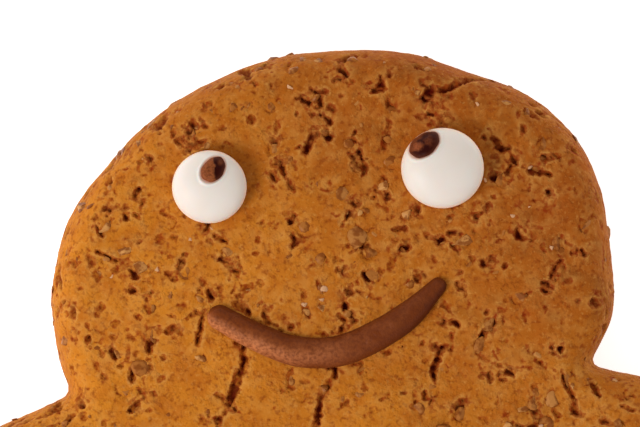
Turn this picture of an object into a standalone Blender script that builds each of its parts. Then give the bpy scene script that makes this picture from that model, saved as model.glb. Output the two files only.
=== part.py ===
"""A gingerbread man: a thick baked biscuit with piped icing eyes and a piped chocolate smile.

It lies on its back, face up: +Z up and +Y towards the crown of the head. Left and right are as
seen from above. The outline and the face are laid out from the middle of the neck, where an
empty stands that carries every piece, and the origin is on the table, under the middle of the
whole footprint. Sizes are in metres.
"""

import math

import bmesh
import bpy
import numpy as np
from mathutils import Matrix, Vector
from mathutils.geometry import delaunay_2d_cdt

MM = 0.001
SIDES = {"left": -1, "right": 1}
GAP = 0.3 * MM  # between pieces that touch

# The cutter's outline.
HEAD_MIDDLE = 8.0 * MM  # the head's widest line
HEAD_REACH = {"left": 22.6 * MM, "right": 23.5 * MM}  # from the axis out to each cheek
HEAD_CROWN = 19.3 * MM  # from the widest line up to the crown
HEAD_CHIN = {"left": 14.6 * MM, "right": 13.4 * MM}  # and down to where it alone would close
CROWN_SQUARENESS = {"left": 1.78, "right": 2.5}  # 2 is an ellipse, and more is boxier
CHEEK_SQUARENESS = 2.5
HALVES_MEET = 6.0 * MM  # how wide the middle is where the head's left and right halves mix
SWELLINGS = (  # where the cut dough was pushed out or in: x, y, reach, and how far out
    (13.2 * MM, 25.6 * MM, 2.6 * MM, -0.50 * MM),
    (22.2 * MM, 16.8 * MM, 4.5 * MM, 0.25 * MM),
    (23.4 * MM, 4.7 * MM, 2.0 * MM, 0.25 * MM),
    (-22.0 * MM, 1.4 * MM, 1.8 * MM, 0.33 * MM),
    (-20.6 * MM, 15.2 * MM, 2.2 * MM, 0.20 * MM),
    (4.5 * MM, 27.3 * MM, 3.5 * MM, 0.10 * MM),
)
NOTCH = {"left": (-21.8 * MM, 0.5 * MM), "right": (21.2 * MM, 0.5 * MM)}  # where neck and arm meet
ARM_DROOP = {"left": 19.0, "right": 14.5}  # degrees below level
ARM_ROOT = 12.0 * MM  # from the axis
HAND = 38.0 * MM
ARM_RADIUS = (11.0 * MM, 10.6 * MM)  # at the root and at the hand
CHEST = -12.0 * MM
BELLY = -42.0 * MM
TORSO_RADIUS = (19.6 * MM, 18.6 * MM)  # at the chest and at the belly
HIP = (9.5 * MM, -45.0 * MM)
FOOT = (17.0 * MM, -71.5 * MM)
LEG_RADIUS = (10.5 * MM, 12.0 * MM)  # at the hip and at the foot
NECK_FILLET = 1.2 * MM
ARMPIT_FILLET = 5.0 * MM
CROTCH_FILLET = 3.0 * MM
WAIST_FILLET = 8.0 * MM

# The biscuit's side and top.
GIRTH_HEIGHT = 3.2 * MM  # where the side stands out most
EDGE_HEIGHT = 8.2 * MM  # the level top, where the rolled edge ends
CROWN_RISE = 0.7 * MM  # how much higher the middle of the dough has risen
CROWN_REACH = 9.0 * MM  # how far in it takes to rise
BASE_INSET = 1.2 * MM  # the flat base ends this far inside the girth
ROLL = 3.4 * MM  # and the level top this far
ROLL_SQUARENESS = 2.3
WAVES = (  # the unevenness of the baked top: height, wavelength, heading in degrees, phase
    (0.12 * MM, 17.0 * MM, 20.0, 0.4),
    (0.10 * MM, 13.0 * MM, 105.0, 2.1),
    (0.08 * MM, 10.0 * MM, 155.0, 4.0),
)

# The icing eyes, each a drop that bulges out over its foot.
EYE_CENTRE = {"left": (-8.96 * MM, 16.8 * MM), "right": (10.15 * MM, 17.2 * MM)}
EYE_RADIUS = {"left": (3.05 * MM, 2.98 * MM), "right": (3.38 * MM, 3.28 * MM)}
EYE_HEIGHT = {"left": 2.5 * MM, "right": 2.7 * MM}
EYE_FOOT = 0.88  # the radius on the crust, as a share of the widest
EYE_BULGE = 0.25  # the height of the widest line, as a share of the drop's

# The chocolate pupils, each a blob on the icing's slope.
PUPIL_OFFSET = {"left": (0.39 * MM, 1.34 * MM), "right": (-1.34 * MM, 1.92 * MM)}
PUPIL_RADIUS = {"left": (1.20 * MM, 0.90 * MM), "right": (1.42 * MM, 1.00 * MM)}
PUPIL_HEIGHT = 0.7 * MM
PUPIL_HEADING = {"left": 46.0, "right": 33.0}  # degrees, of the blob's long way

# The chocolate smile, piped from the mouth's left corner to its right one.
SMILE_ROUTE = (
    (-8.75 * MM, 6.10 * MM),
    (-5.95 * MM, 4.40 * MM),
    (-2.80 * MM, 3.00 * MM),
    (0.60 * MM, 2.75 * MM),
    (3.85 * MM, 3.80 * MM),
    (6.75 * MM, 5.45 * MM),
    (9.20 * MM, 7.60 * MM),
)
SMILE_HALF_WIDTH = (
    1.03 * MM, 1.15 * MM, 1.24 * MM, 1.27 * MM, 1.25 * MM, 1.13 * MM, 0.70 * MM,
)
SMILE_HEIGHT = 0.6  # as a share of its width
SMILE_SQUARENESS = 0.8  # the power of the section's sine: 1 is an ellipse, and less is boxier

# How finely the solids are faceted.
OUTLINE_STEP = 1.8 * MM
TOP_STEP = 3.0 * MM
SIDE_STEPS = 3
ROLL_STEPS = 5
EYE_SEGMENTS = 36
EYE_STEPS = 8
PUPIL_SEGMENTS = 20
SMILE_SPAN_STEPS = 5
SMILE_SIDES = 9
SMILE_END_ANGLES = (30, 55, 75)  # degrees round each rounded end
TOP_BORDER = 0.45  # the share of a lattice step left free inside the level top's edge
LOOP_CLOSED = 0.75  # the outline is closed when its end is this share of a step from its start
SAME_POINT = 1e-7

CRUST_COLOUR = (178, 105, 36)
ICING_COLOUR = (240, 229, 218)
CHOCOLATE_COLOUR = (118, 62, 32)


def limb(x, y, root, tip, radii):
    """How far points lie inside a straight limb with round ends, whose radius changes evenly."""
    along_x, along_y = tip[0] - root[0], tip[1] - root[1]
    share = ((x - root[0]) * along_x + (y - root[1]) * along_y) / (along_x**2 + along_y**2)
    share = np.clip(share, 0, 1)
    off_axis = np.hypot(x - root[0] - share * along_x, y - root[1] - share * along_y)
    return radii[0] + (radii[1] - radii[0]) * share - off_axis


def head(x, y):
    """How far points lie inside the head: a superellipse whose four quarters differ, swelled."""
    rise = y - HEAD_MIDDLE
    right = np.clip(x / HALVES_MEET + 0.5, 0, 1)
    wide, chin, crown = (half["left"] + (half["right"] - half["left"]) * right
                         for half in (HEAD_REACH, HEAD_CHIN, CROWN_SQUARENESS))
    tall = np.where(rise > 0, HEAD_CROWN, chin)
    power = np.where(rise > 0, crown, CHEEK_SQUARENESS)
    across = np.abs(x) / wide + 1e-6
    up = np.abs(rise) / tall + 1e-6
    size = (across**power + up**power) ** (1 / power)
    slope = np.hypot(across ** (power - 1) / wide, up ** (power - 1) / tall)
    swelled = sum(out * np.exp(-((x - at_x) ** 2 + (y - at_y) ** 2) / (2 * reach**2))
                  for at_x, at_y, reach, out in SWELLINGS)
    return (1 - size) / (slope * size ** (1 - power)) + swelled


def joined(a, b, fillet):
    """The two insides as one, with a fillet where they meet."""
    near = np.maximum(fillet - np.abs(a - b), 0) / fillet
    return np.maximum(a, b) + near * near * fillet / 4


def arm_point(side, from_axis):
    """A point of an arm's middle line: the arm's upper edge passes through the neck's notch."""
    notch_x, notch_y = NOTCH[side]
    droop = math.radians(ARM_DROOP[side])
    level = notch_y - ARM_RADIUS[0] / math.cos(droop)
    return SIDES[side] * from_axis, level - (from_axis - abs(notch_x)) * math.tan(droop)


def inside(x, y):
    """How far points lie inside the outline: 0 on it, and less than 0 outside it."""
    legs = [limb(x, y, (s * HIP[0], HIP[1]), (s * FOOT[0], FOOT[1]), LEG_RADIUS) for s in (-1, 1)]
    torso = limb(x, y, (0, CHEST), (0, BELLY), TORSO_RADIUS)
    figure = joined(torso, joined(*legs, CROTCH_FILLET), WAIST_FILLET)
    for side in SIDES:
        arm = limb(x, y, arm_point(side, ARM_ROOT), arm_point(side, HAND), ARM_RADIUS)
        figure = joined(figure, arm, ARMPIT_FILLET)
    return joined(figure, head(x, y), NECK_FILLET)


def way_in(x, y):
    """The slope of the inside, measured over a small step each way: it points away from the edge."""
    step = 0.01 * MM
    across = inside(x + step, y) - inside(x - step, y)
    up = inside(x, y + step) - inside(x, y - step)
    return across / (2 * step), up / (2 * step)


def on_outline(x, y):
    """The nearest point of the outline, found by Newton's method."""
    for _ in range(3):
        across, up = way_in(x, y)
        excess = inside(x, y) / (across**2 + up**2)
        x, y = x - across * excess, y - up * excess
    return float(x), float(y)


def trace_outline():
    """Points round the outline, evenly spaced, from the crown down the left side."""
    points = [on_outline(0.0, HEAD_MIDDLE + HEAD_CROWN)]
    while len(points) < 4 or math.dist(points[-1], points[0]) > LOOP_CLOSED * OUTLINE_STEP:
        x, y = points[-1]
        across, up = way_in(x, y)
        pace = OUTLINE_STEP / math.hypot(across, up)
        points.append(on_outline(x + up * pace, y - across * pace))
    return np.array(points)


def crust_height(x, y):
    """The height of the top: level at the rolled edge, a little risen further in, and uneven."""
    share = np.clip((inside(x, y) - ROLL) / CROWN_REACH, 0, 1)
    height = EDGE_HEIGHT + CROWN_RISE * share**2 * (3 - 2 * share)
    for size, length, heading, phase in WAVES:
        along = x * math.cos(math.radians(heading)) + y * math.sin(math.radians(heading))
        height = height + size * np.sin(math.tau * along / length + phase)
    return height


def resting_height(x, y):
    """The underside of a piece that was piped onto the crust."""
    return crust_height(x, y) + GAP


def side_profile():
    """Steps up the side, as (inset, share of the girth's height, share of the height above it)."""
    power = 2 / ROLL_SQUARENESS
    steps = []
    for turn in np.linspace(0, math.pi / 2, SIDE_STEPS + 1)[:-1]:
        steps.append((BASE_INSET * (1 - math.sin(turn) ** power), 1 - math.cos(turn) ** power, 0.0))
    for turn in np.linspace(0, math.pi / 2, ROLL_STEPS + 1):
        steps.append((ROLL * (1 - abs(math.cos(turn)) ** power), 1.0, math.sin(turn) ** power))
    return steps


def skin(rings):
    """(points, faces) of a skin over a row of rings that all have as many points."""
    count = len(rings[0])
    faces = []
    for start in range(0, count * (len(rings) - 1), count):
        for i in range(count):
            here, after = start + i, start + (i + 1) % count
            faces.append((here, after, after + count, here + count))
    return [tuple(point) for ring in rings for point in ring], faces


def top_cap(points, border):
    """Facets over the top, on a lattice: the points from border on are the edge that they keep."""
    edge = [Vector(point[:2]) for point in points[border:]]
    low, high = np.min(edge, axis=0), np.max(edge, axis=0)
    x, y = np.meshgrid(np.arange(low[0], high[0], TOP_STEP),
                       np.arange(low[1], high[1], TOP_STEP * math.sqrt(0.75)))
    x[1::2] += TOP_STEP / 2
    fits = inside(x, y) > ROLL + TOP_BORDER * TOP_STEP
    lattice = [Vector(place) for place in zip(x[fits], y[fits])]
    loop = [(i, (i + 1) % len(edge)) for i in range(len(edge))]
    spots, _, triangles, sources, _, _ = delaunay_2d_cdt(edge + lattice, loop, [], 1, SAME_POINT)
    number = []
    for spot, source in zip(spots, sources):
        if source[0] < len(edge):
            number.append(border + source[0])
        else:
            number.append(len(points))
            points.append((spot.x, spot.y, float(crust_height(spot.x, spot.y))))
    return [tuple(number[i] for i in triangle) for triangle in triangles]


def biscuit(outline):
    """(points, faces) of the baked dough: rings up its side, a flat base and an uneven top."""
    inward = np.stack(way_in(outline[:, 0], outline[:, 1]), axis=1)
    inward /= np.linalg.norm(inward, axis=1)[:, None]
    rings = []
    for inset, low_share, high_share in side_profile():
        ring = outline + inward * inset
        above_girth = crust_height(ring[:, 0], ring[:, 1]) - GIRTH_HEIGHT
        rings.append(np.column_stack([ring, GIRTH_HEIGHT * low_share + above_girth * high_share]))
    points, faces = skin(rings)
    faces.append(tuple(range(len(outline))))
    faces += top_cap(points, len(points) - len(outline))
    return points, faces


def eye(side, grow=0.0):
    """(points, faces) of a piped drop: up from its foot, out to its bulge, and over in a dome."""
    turn = np.linspace(0, math.tau, EYE_SEGMENTS, endpoint=False)
    middle_x, middle_y = EYE_CENTRE[side]
    level = float(resting_height(middle_x, middle_y))
    bulge = EYE_BULGE * EYE_HEIGHT[side]
    rise = EYE_HEIGHT[side] + grow - bulge

    def ring(share):
        return (middle_x + (EYE_RADIUS[side][0] + grow) * share * np.cos(turn),
                middle_y + (EYE_RADIUS[side][1] + grow) * share * np.sin(turn))

    foot_x, foot_y = ring(EYE_FOOT)
    rings = [np.column_stack([foot_x, foot_y, resting_height(foot_x, foot_y)])]
    for angle in np.linspace(0, math.pi / 2, EYE_STEPS, endpoint=False):
        height = np.full(EYE_SEGMENTS, level + bulge + rise * math.sin(angle))
        rings.append(np.column_stack([*ring(math.cos(angle)), height]))
    points, faces = skin(rings)
    last = len(points) - EYE_SEGMENTS
    points += [(middle_x, middle_y, level), (middle_x, middle_y, level + bulge + rise)]
    for i in range(EYE_SEGMENTS):
        after = (i + 1) % EYE_SEGMENTS
        faces += [(i, after, len(points) - 2), (last + i, last + after, len(points) - 1)]
    return points, faces


def pupil_ball(side):
    """A flattened ball, half sunk in the slope of the eye's dome and square to it."""
    (off_x, off_y), (radius_x, radius_y) = PUPIL_OFFSET[side], EYE_RADIUS[side]
    middle_x, middle_y = EYE_CENTRE[side]
    bulge = EYE_BULGE * EYE_HEIGHT[side]
    dome = EYE_HEIGHT[side] - bulge
    share = math.sqrt(1 - (off_x / radius_x) ** 2 - (off_y / radius_y) ** 2)
    height = float(resting_height(middle_x, middle_y)) + bulge + dome * share
    square_to = Vector((off_x / radius_x**2, off_y / radius_y**2, share / dome))
    tilt = Vector((0, 0, 1)).rotation_difference(square_to).to_matrix().to_4x4()
    heading = Matrix.Rotation(math.radians(PUPIL_HEADING[side]), 4, "Z")
    size = Matrix.Diagonal((*PUPIL_RADIUS[side], PUPIL_HEIGHT + GAP, 1))
    place = Matrix.Translation((middle_x + off_x, middle_y + off_y, height))
    shape = bmesh.new()
    bmesh.ops.create_uvsphere(shape, u_segments=PUPIL_SEGMENTS, v_segments=PUPIL_SEGMENTS // 2,
                              radius=1, matrix=place @ tilt @ heading @ size)
    return shape


def smile():
    """(points, faces) of a half-round line along a smooth curve, with rounded ends."""
    knots = np.column_stack([SMILE_ROUTE, SMILE_HALF_WIDTH])
    reach = np.vstack([2 * knots[0] - knots[1], knots, 2 * knots[-1] - knots[-2]])
    t = np.linspace(0, 1, SMILE_SPAN_STEPS, endpoint=False)[:, None]
    line = []
    for before, start, end, beyond in zip(reach, reach[1:], reach[2:], reach[3:]):
        bend = (2 * before - 5 * start + 4 * end - beyond) * t**2
        twist = (3 * start - before - 3 * end + beyond) * t**3
        line.append(start + ((end - before) * t + bend + twist) / 2)
    line = np.vstack([*line, knots[-1]])
    heading = np.gradient(line[:, :2], axis=0)
    heading /= np.linalg.norm(heading, axis=1)[:, None]

    stations = [(*spot, *way) for spot, way in zip(line, heading)]
    for angle in np.radians(SMILE_END_ANGLES):
        for end, ahead in ((0, -1), (-1, 1)):
            half_width = line[end, 2]
            spot = line[end, :2] + ahead * half_width * math.sin(angle) * heading[end]
            station = (*spot, half_width * math.cos(angle), *heading[end])
            stations.insert(0 if end == 0 else len(stations), station)

    arc = np.linspace(0, math.pi, SMILE_SIDES + 1)
    rings = []
    for x, y, half_width, way_x, way_y in stations:
        ring_x = x - way_y * half_width * np.cos(arc)
        ring_y = y + way_x * half_width * np.cos(arc)
        rise = 2 * half_width * SMILE_HEIGHT * np.sin(arc) ** SMILE_SQUARENESS
        rings.append(np.column_stack([ring_x, ring_y, resting_height(ring_x, ring_y) + rise]))
    points, faces = skin(rings)
    faces += [tuple(range(len(arc))), tuple(range(len(points) - len(arc), len(points)))]
    return points, faces


def linear(channel):
    """One channel of a screen colour, 0 to 255, as the light that it stands for."""
    share = channel / 255
    return share / 12.92 if share <= 0.04045 else ((share + 0.055) / 1.055) ** 2.4


def make_material(name, colour, roughness):
    material = bpy.data.materials.new(name)
    material.use_nodes = True
    surface = material.node_tree.nodes["Principled BSDF"]
    surface.inputs["Base Color"].default_value = (*map(linear, colour), 1)
    surface.inputs["Roughness"].default_value = roughness
    surface.inputs["Metallic"].default_value = 0
    return material


def shape_of(points, faces):
    """A bmesh of the points and faces, with every face turned outwards."""
    mesh = bpy.data.meshes.new("working")
    mesh.from_pydata(points, [], faces)
    shape = bmesh.new()
    shape.from_mesh(mesh)
    bpy.data.meshes.remove(mesh)
    bmesh.ops.recalc_face_normals(shape, faces=shape.faces)
    return shape


def add_piece(name, shape, parent, material=None, sharp_angle=50):
    mesh = bpy.data.meshes.new(name)
    shape.to_mesh(mesh)
    shape.free()
    mesh.shade_smooth()
    mesh.set_sharp_from_angle(angle=math.radians(sharp_angle))
    if material:
        mesh.materials.append(material)
    piece = bpy.data.objects.new(name, mesh)
    piece.parent = parent
    bpy.context.scene.collection.objects.link(piece)
    return piece


def add_pupil(side, neck, chocolate):
    """A pupil: what is left of its ball outside the eye and the gap round it."""
    room = add_piece(f"room_for_eye_{side}", shape_of(*eye(side, grow=GAP)), neck)
    room.hide_render = True
    room.display_type = "WIRE"
    pupil = add_piece(f"pupil_{side}", pupil_ball(side), neck, chocolate)
    seat = pupil.modifiers.new("seat on the icing", "BOOLEAN")
    seat.operation = "DIFFERENCE"
    seat.solver = "EXACT"
    seat.object = room


def build():
    for old in list(bpy.data.objects):
        bpy.data.objects.remove(old, do_unlink=True)
    crust = make_material("gingerbread crust", CRUST_COLOUR, 0.75)
    icing = make_material("white icing", ICING_COLOUR, 0.4)
    chocolate = make_material("chocolate", CHOCOLATE_COLOUR, 0.5)

    outline = trace_outline()
    middle_x, middle_y = (outline.min(axis=0) + outline.max(axis=0)) / 2
    neck = bpy.data.objects.new("neck", None)
    neck.location = (-middle_x, -middle_y, 0)
    bpy.context.scene.collection.objects.link(neck)

    add_piece("biscuit", shape_of(*biscuit(outline)), neck, crust)
    for side in SIDES:
        add_piece(f"eye_{side}", shape_of(*eye(side)), neck, icing)
        add_pupil(side, neck, chocolate)
    add_piece("smile", shape_of(*smile()), neck, chocolate)


build()
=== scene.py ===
import math

import bmesh
import bpy
import numpy as np
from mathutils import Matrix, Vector
from mathutils.geometry import delaunay_2d_cdt


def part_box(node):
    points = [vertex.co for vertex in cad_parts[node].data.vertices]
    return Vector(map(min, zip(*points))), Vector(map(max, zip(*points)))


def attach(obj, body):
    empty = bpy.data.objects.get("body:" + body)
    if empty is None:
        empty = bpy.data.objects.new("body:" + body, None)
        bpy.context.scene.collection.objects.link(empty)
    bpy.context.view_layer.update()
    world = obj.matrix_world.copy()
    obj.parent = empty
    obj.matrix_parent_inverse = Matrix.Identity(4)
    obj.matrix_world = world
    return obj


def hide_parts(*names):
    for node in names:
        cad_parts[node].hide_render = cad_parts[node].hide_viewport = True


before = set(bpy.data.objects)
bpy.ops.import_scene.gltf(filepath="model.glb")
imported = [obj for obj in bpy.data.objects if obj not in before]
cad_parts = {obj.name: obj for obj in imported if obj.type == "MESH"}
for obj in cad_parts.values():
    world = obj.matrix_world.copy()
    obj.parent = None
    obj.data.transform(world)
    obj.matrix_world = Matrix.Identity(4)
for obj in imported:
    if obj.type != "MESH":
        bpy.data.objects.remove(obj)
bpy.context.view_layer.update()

# The dough: a thick gingerbread figure, pressed out with a cutter and baked flat on a tray.
# Its outline and top are smooth formulas, in millimetres from the middle of the neck, and
# the marks that baking left in it are then cut into a fine skin of facets.
SIDES = {"left": -1, "right": 1}
HEAD_MIDDLE = 8.0  # the head's widest line
HEAD_REACH = {"left": 22.6, "right": 23.5}  # from the axis out to each cheek
HEAD_CROWN = 19.3  # from the widest line up to the crown
HEAD_CHIN = {"left": 14.6, "right": 13.4}  # and down to where it alone would close
CROWN_SQUARENESS = {"left": 1.78, "right": 2.5}  # 2 is an ellipse, and more is boxier
CHEEK_SQUARENESS = 2.5
HALVES_MEET = 6.0  # how wide the mixed middle is
SWELLINGS = (  # where the cut dough was pushed out or in: x, y, reach, and how far out
    (13.2, 25.6, 2.6, -0.50), (22.2, 16.8, 4.5, 0.25), (23.4, 4.7, 2.0, 0.25),
    (-22.0, 1.4, 1.8, 0.33), (-20.6, 15.2, 2.2, 0.20), (4.5, 27.3, 3.5, 0.10),
)
NOTCH = {"left": (-21.8, 0.5), "right": (21.2, 0.5)}  # where neck and arm meet
ARM_DROOP = {"left": 19.0, "right": 14.5}  # degrees below level
ARM_ROOT, HAND = 12.0, 38.0  # from the axis
ARM_RADIUS = (11.0, 10.6)
CHEST, BELLY = -12.0, -42.0
TORSO_RADIUS = (19.6, 18.6)
HIP, FOOT = (9.5, -45.0), (17.0, -71.5)
LEG_RADIUS = (10.5, 12.0)
NECK_FILLET, ARMPIT_FILLET, CROTCH_FILLET, WAIST_FILLET = 1.2, 5.0, 3.0, 8.0
GIRTH_HEIGHT = 3.2  # where the side stands out most
EDGE_HEIGHT = 8.2  # the level top, where the rolled edge ends
CROWN_RISE, CROWN_REACH = 0.7, 9.0  # the risen middle, and how far in it takes to rise
BASE_INSET, ROLL = 1.2, 3.4  # how far inside the girth the base and the level top end
ROLL_SQUARENESS = 2.3
WAVES = ((0.12, 17.0, 20.0, 0.4), (0.10, 13.0, 105.0, 2.1), (0.08, 10.0, 155.0, 4.0))


def limb(x, y, root, tip, radii):
    """How far points lie inside a limb: its radius, less their distance from its middle line."""
    along_x, along_y = tip[0] - root[0], tip[1] - root[1]
    share = ((x - root[0]) * along_x + (y - root[1]) * along_y) / (along_x**2 + along_y**2)
    share = np.clip(share, 0, 1)
    off_axis = np.hypot(x - root[0] - share * along_x, y - root[1] - share * along_y)
    return radii[0] + (radii[1] - radii[0]) * share - off_axis


def head(x, y):
    """How far points lie inside the head: a superellipse, |x/a|^n + |y/b|^n = 1, in each quarter,
    the left and right ones mixed where they meet, plus a bell curve for each swelling."""
    rise = y - HEAD_MIDDLE
    right = np.clip(x / HALVES_MEET + 0.5, 0, 1)
    wide, chin, crown = (half["left"] + (half["right"] - half["left"]) * right
                         for half in (HEAD_REACH, HEAD_CHIN, CROWN_SQUARENESS))
    tall = np.where(rise > 0, HEAD_CROWN, chin)
    power = np.where(rise > 0, crown, CHEEK_SQUARENESS)
    across = np.abs(x) / wide + 1e-6
    up = np.abs(rise) / tall + 1e-6
    size = (across**power + up**power) ** (1 / power)
    slope = np.hypot(across ** (power - 1) / wide, up ** (power - 1) / tall)
    swelled = sum(out * np.exp(-((x - at_x) ** 2 + (y - at_y) ** 2) / (2 * reach**2))
                  for at_x, at_y, reach, out in SWELLINGS)
    return (1 - size) / (slope * size ** (1 - power)) + swelled


def joined(a, b, fillet):
    """The two insides as one: the greater, plus a quarter of the fillet where they are alike."""
    near = np.maximum(fillet - np.abs(a - b), 0) / fillet
    return np.maximum(a, b) + near * near * fillet / 4


def arm_point(side, from_axis):
    """A point of an arm's middle line: the arm's upper edge passes through the neck's notch."""
    notch_x, notch_y = NOTCH[side]
    droop = math.radians(ARM_DROOP[side])
    level = notch_y - ARM_RADIUS[0] / math.cos(droop)
    return SIDES[side] * from_axis, level - (from_axis - abs(notch_x)) * math.tan(droop)


def inside(x, y):
    """How far points lie inside the whole outline: its limbs and head, joined with fillets."""
    legs = [limb(x, y, (s * HIP[0], HIP[1]), (s * FOOT[0], FOOT[1]), LEG_RADIUS) for s in (-1, 1)]
    torso = limb(x, y, (0, CHEST), (0, BELLY), TORSO_RADIUS)
    figure = joined(torso, joined(*legs, CROTCH_FILLET), WAIST_FILLET)
    for side in SIDES:
        arm = limb(x, y, arm_point(side, ARM_ROOT), arm_point(side, HAND), ARM_RADIUS)
        figure = joined(figure, arm, ARMPIT_FILLET)
    return joined(figure, head(x, y), NECK_FILLET)


def way_in(x, y, step=0.01):
    """The slope of the inside, from its change over a small step each way."""
    across = inside(x + step, y) - inside(x - step, y)
    up = inside(x, y + step) - inside(x, y - step)
    return across / (2 * step), up / (2 * step)


def onto_outline(x, y):
    """The nearest points of the outline, by Newton's method down the slope of the inside."""
    for _ in range(4):
        across, up = way_in(x, y)
        excess = inside(x, y) / (across**2 + up**2)
        x, y = x - across * excess, y - up * excess
    return x, y


def outline_points(step):
    """Points round the outline one step apart: a walk along it, square to the way in, and then
    its length shared out evenly."""
    x, y = onto_outline(0.0, HEAD_MIDDLE + HEAD_CROWN)
    walk, stride = [(float(x), float(y))], 1.0
    while len(walk) < 4 or math.dist(walk[-1], walk[0]) > 0.75 * stride:
        across, up = way_in(x, y)
        pace = stride / math.hypot(across, up)
        x, y = onto_outline(x + up * pace, y - across * pace)
        walk.append((float(x), float(y)))
    walk = np.array(walk + walk[:1])
    run = np.concatenate([[0], np.cumsum(np.hypot(*np.diff(walk, axis=0).T))])
    even = np.linspace(0, run[-1], round(run[-1] / step), endpoint=False)
    return np.column_stack(onto_outline(np.interp(even, run, walk[:, 0]),
                                        np.interp(even, run, walk[:, 1])))


def crust_height(x, y):
    """The height of the top: level, plus an eased rise with the distance in, plus long waves."""
    share = np.clip((inside(x, y) - ROLL) / CROWN_REACH, 0, 1)
    height = EDGE_HEIGHT + CROWN_RISE * share**2 * (3 - 2 * share)
    for size, length, heading, phase in WAVES:
        along = x * math.cos(math.radians(heading)) + y * math.sin(math.radians(heading))
        height = height + size * np.sin(math.tau * along / length + phase)
    return height


def top_height(x, y):
    """The height of the top, and near the outline of its rolled edge: a quarter superellipse,
    by the distance to the outline, from the level top down to the girth."""
    height = crust_height(x, y)
    edge = inside(x, y) < 1.5 * ROLL
    edge_x, edge_y = x[edge], y[edge]
    foot_x, foot_y = onto_outline(edge_x, edge_y)
    share = np.clip(1 - np.hypot(edge_x - foot_x, edge_y - foot_y) / ROLL, 0, 1)
    roll = (1 - share**ROLL_SQUARENESS) ** (1 / ROLL_SQUARENESS)
    height[edge] = GIRTH_HEIGHT + (height[edge] - GIRTH_HEIGHT) * roll
    return height


def top_points(x, y):
    """Points of the top, and the way out of it: the cross of its slopes over a small step."""
    step = 0.05
    slope_x = (top_height(x + step, y) - top_height(x - step, y)) / (2 * step)
    slope_y = (top_height(x, y + step) - top_height(x, y - step)) / (2 * step)
    out = np.column_stack([-slope_x, -slope_y, np.ones_like(slope_x)])
    return np.column_stack([x, y, top_height(x, y)]), out / np.linalg.norm(out, axis=1)[:, None]


NOISE_SIZE = 32
noise_table = np.random.default_rng(5).uniform(-1, 1, (NOISE_SIZE,) * 3)


def unevenness(points, size, shift=0.0):
    """Random numbers at the corners of cubes of this size, eased from corner to corner."""
    place = points / size + shift
    cell = np.floor(place).astype(int)
    ease = place - cell
    ease = ease * ease * (3 - 2 * ease)
    total = np.zeros(len(points))
    for corner in np.ndindex(2, 2, 2):
        weight = np.prod(np.where(corner, ease, 1 - ease), axis=1)
        i, j, k = ((cell + corner) % NOISE_SIZE).T
        total += weight * noise_table[i, j, k]
    return total


def lattice(low, high, step):
    """Points on a lattice of triangles over a box, with each point's row and column."""
    row, column = np.mgrid[0:math.ceil((high[1] - low[1]) / (step * math.sqrt(0.75))),
                           0:math.ceil((high[0] - low[0]) / step)]
    x = low[0] + step * (column + 0.5 * (row % 2))
    y = low[1] + step * math.sqrt(0.75) * row
    return x.ravel(), y.ravel(), row.ravel(), column.ravel()


SEAM = 0.9  # the side's strip of rows ends this far in from the girth
SIDE_STEP = 0.4
FACE_LOW = -5.0  # above this the skin is finest
FACE_STEP = 0.14


def side_rows():
    """The side's profile from the base up to the seam: two quarter superellipses, as (inset,
    share of the girth's height, share of the height above it)."""
    power = 2 / ROLL_SQUARENESS
    rows = []
    for turn in np.linspace(0, math.pi / 2, 10)[:-1]:
        rows.append((BASE_INSET * (1 - math.sin(turn) ** power), 1 - math.cos(turn) ** power, 0.0))
    last = math.acos((1 - SEAM / ROLL) ** (1 / power))
    for turn in np.linspace(0, last, 13):
        rows.append((ROLL * (1 - abs(math.cos(turn)) ** power), 1.0, math.sin(turn) ** power))
    return rows


outline = outline_points(SIDE_STEP)
inward = np.column_stack(way_in(outline[:, 0], outline[:, 1]))
inward /= np.linalg.norm(inward, axis=1)[:, None]
strip = []
for inset, low_share, high_share in side_rows():
    ring = outline + inward * inset
    above_girth = crust_height(ring[:, 0], ring[:, 1]) - GIRTH_HEIGHT
    strip.append(np.column_stack([ring, GIRTH_HEIGHT * low_share + above_girth * high_share]))
strip = np.array(strip)
round_it = np.roll(strip, -1, axis=1) - np.roll(strip, 1, axis=1)
strip_out = np.cross(np.gradient(strip, axis=0), round_it)
strip_out /= -np.linalg.norm(strip_out, axis=2)[:, :, None]

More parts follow.
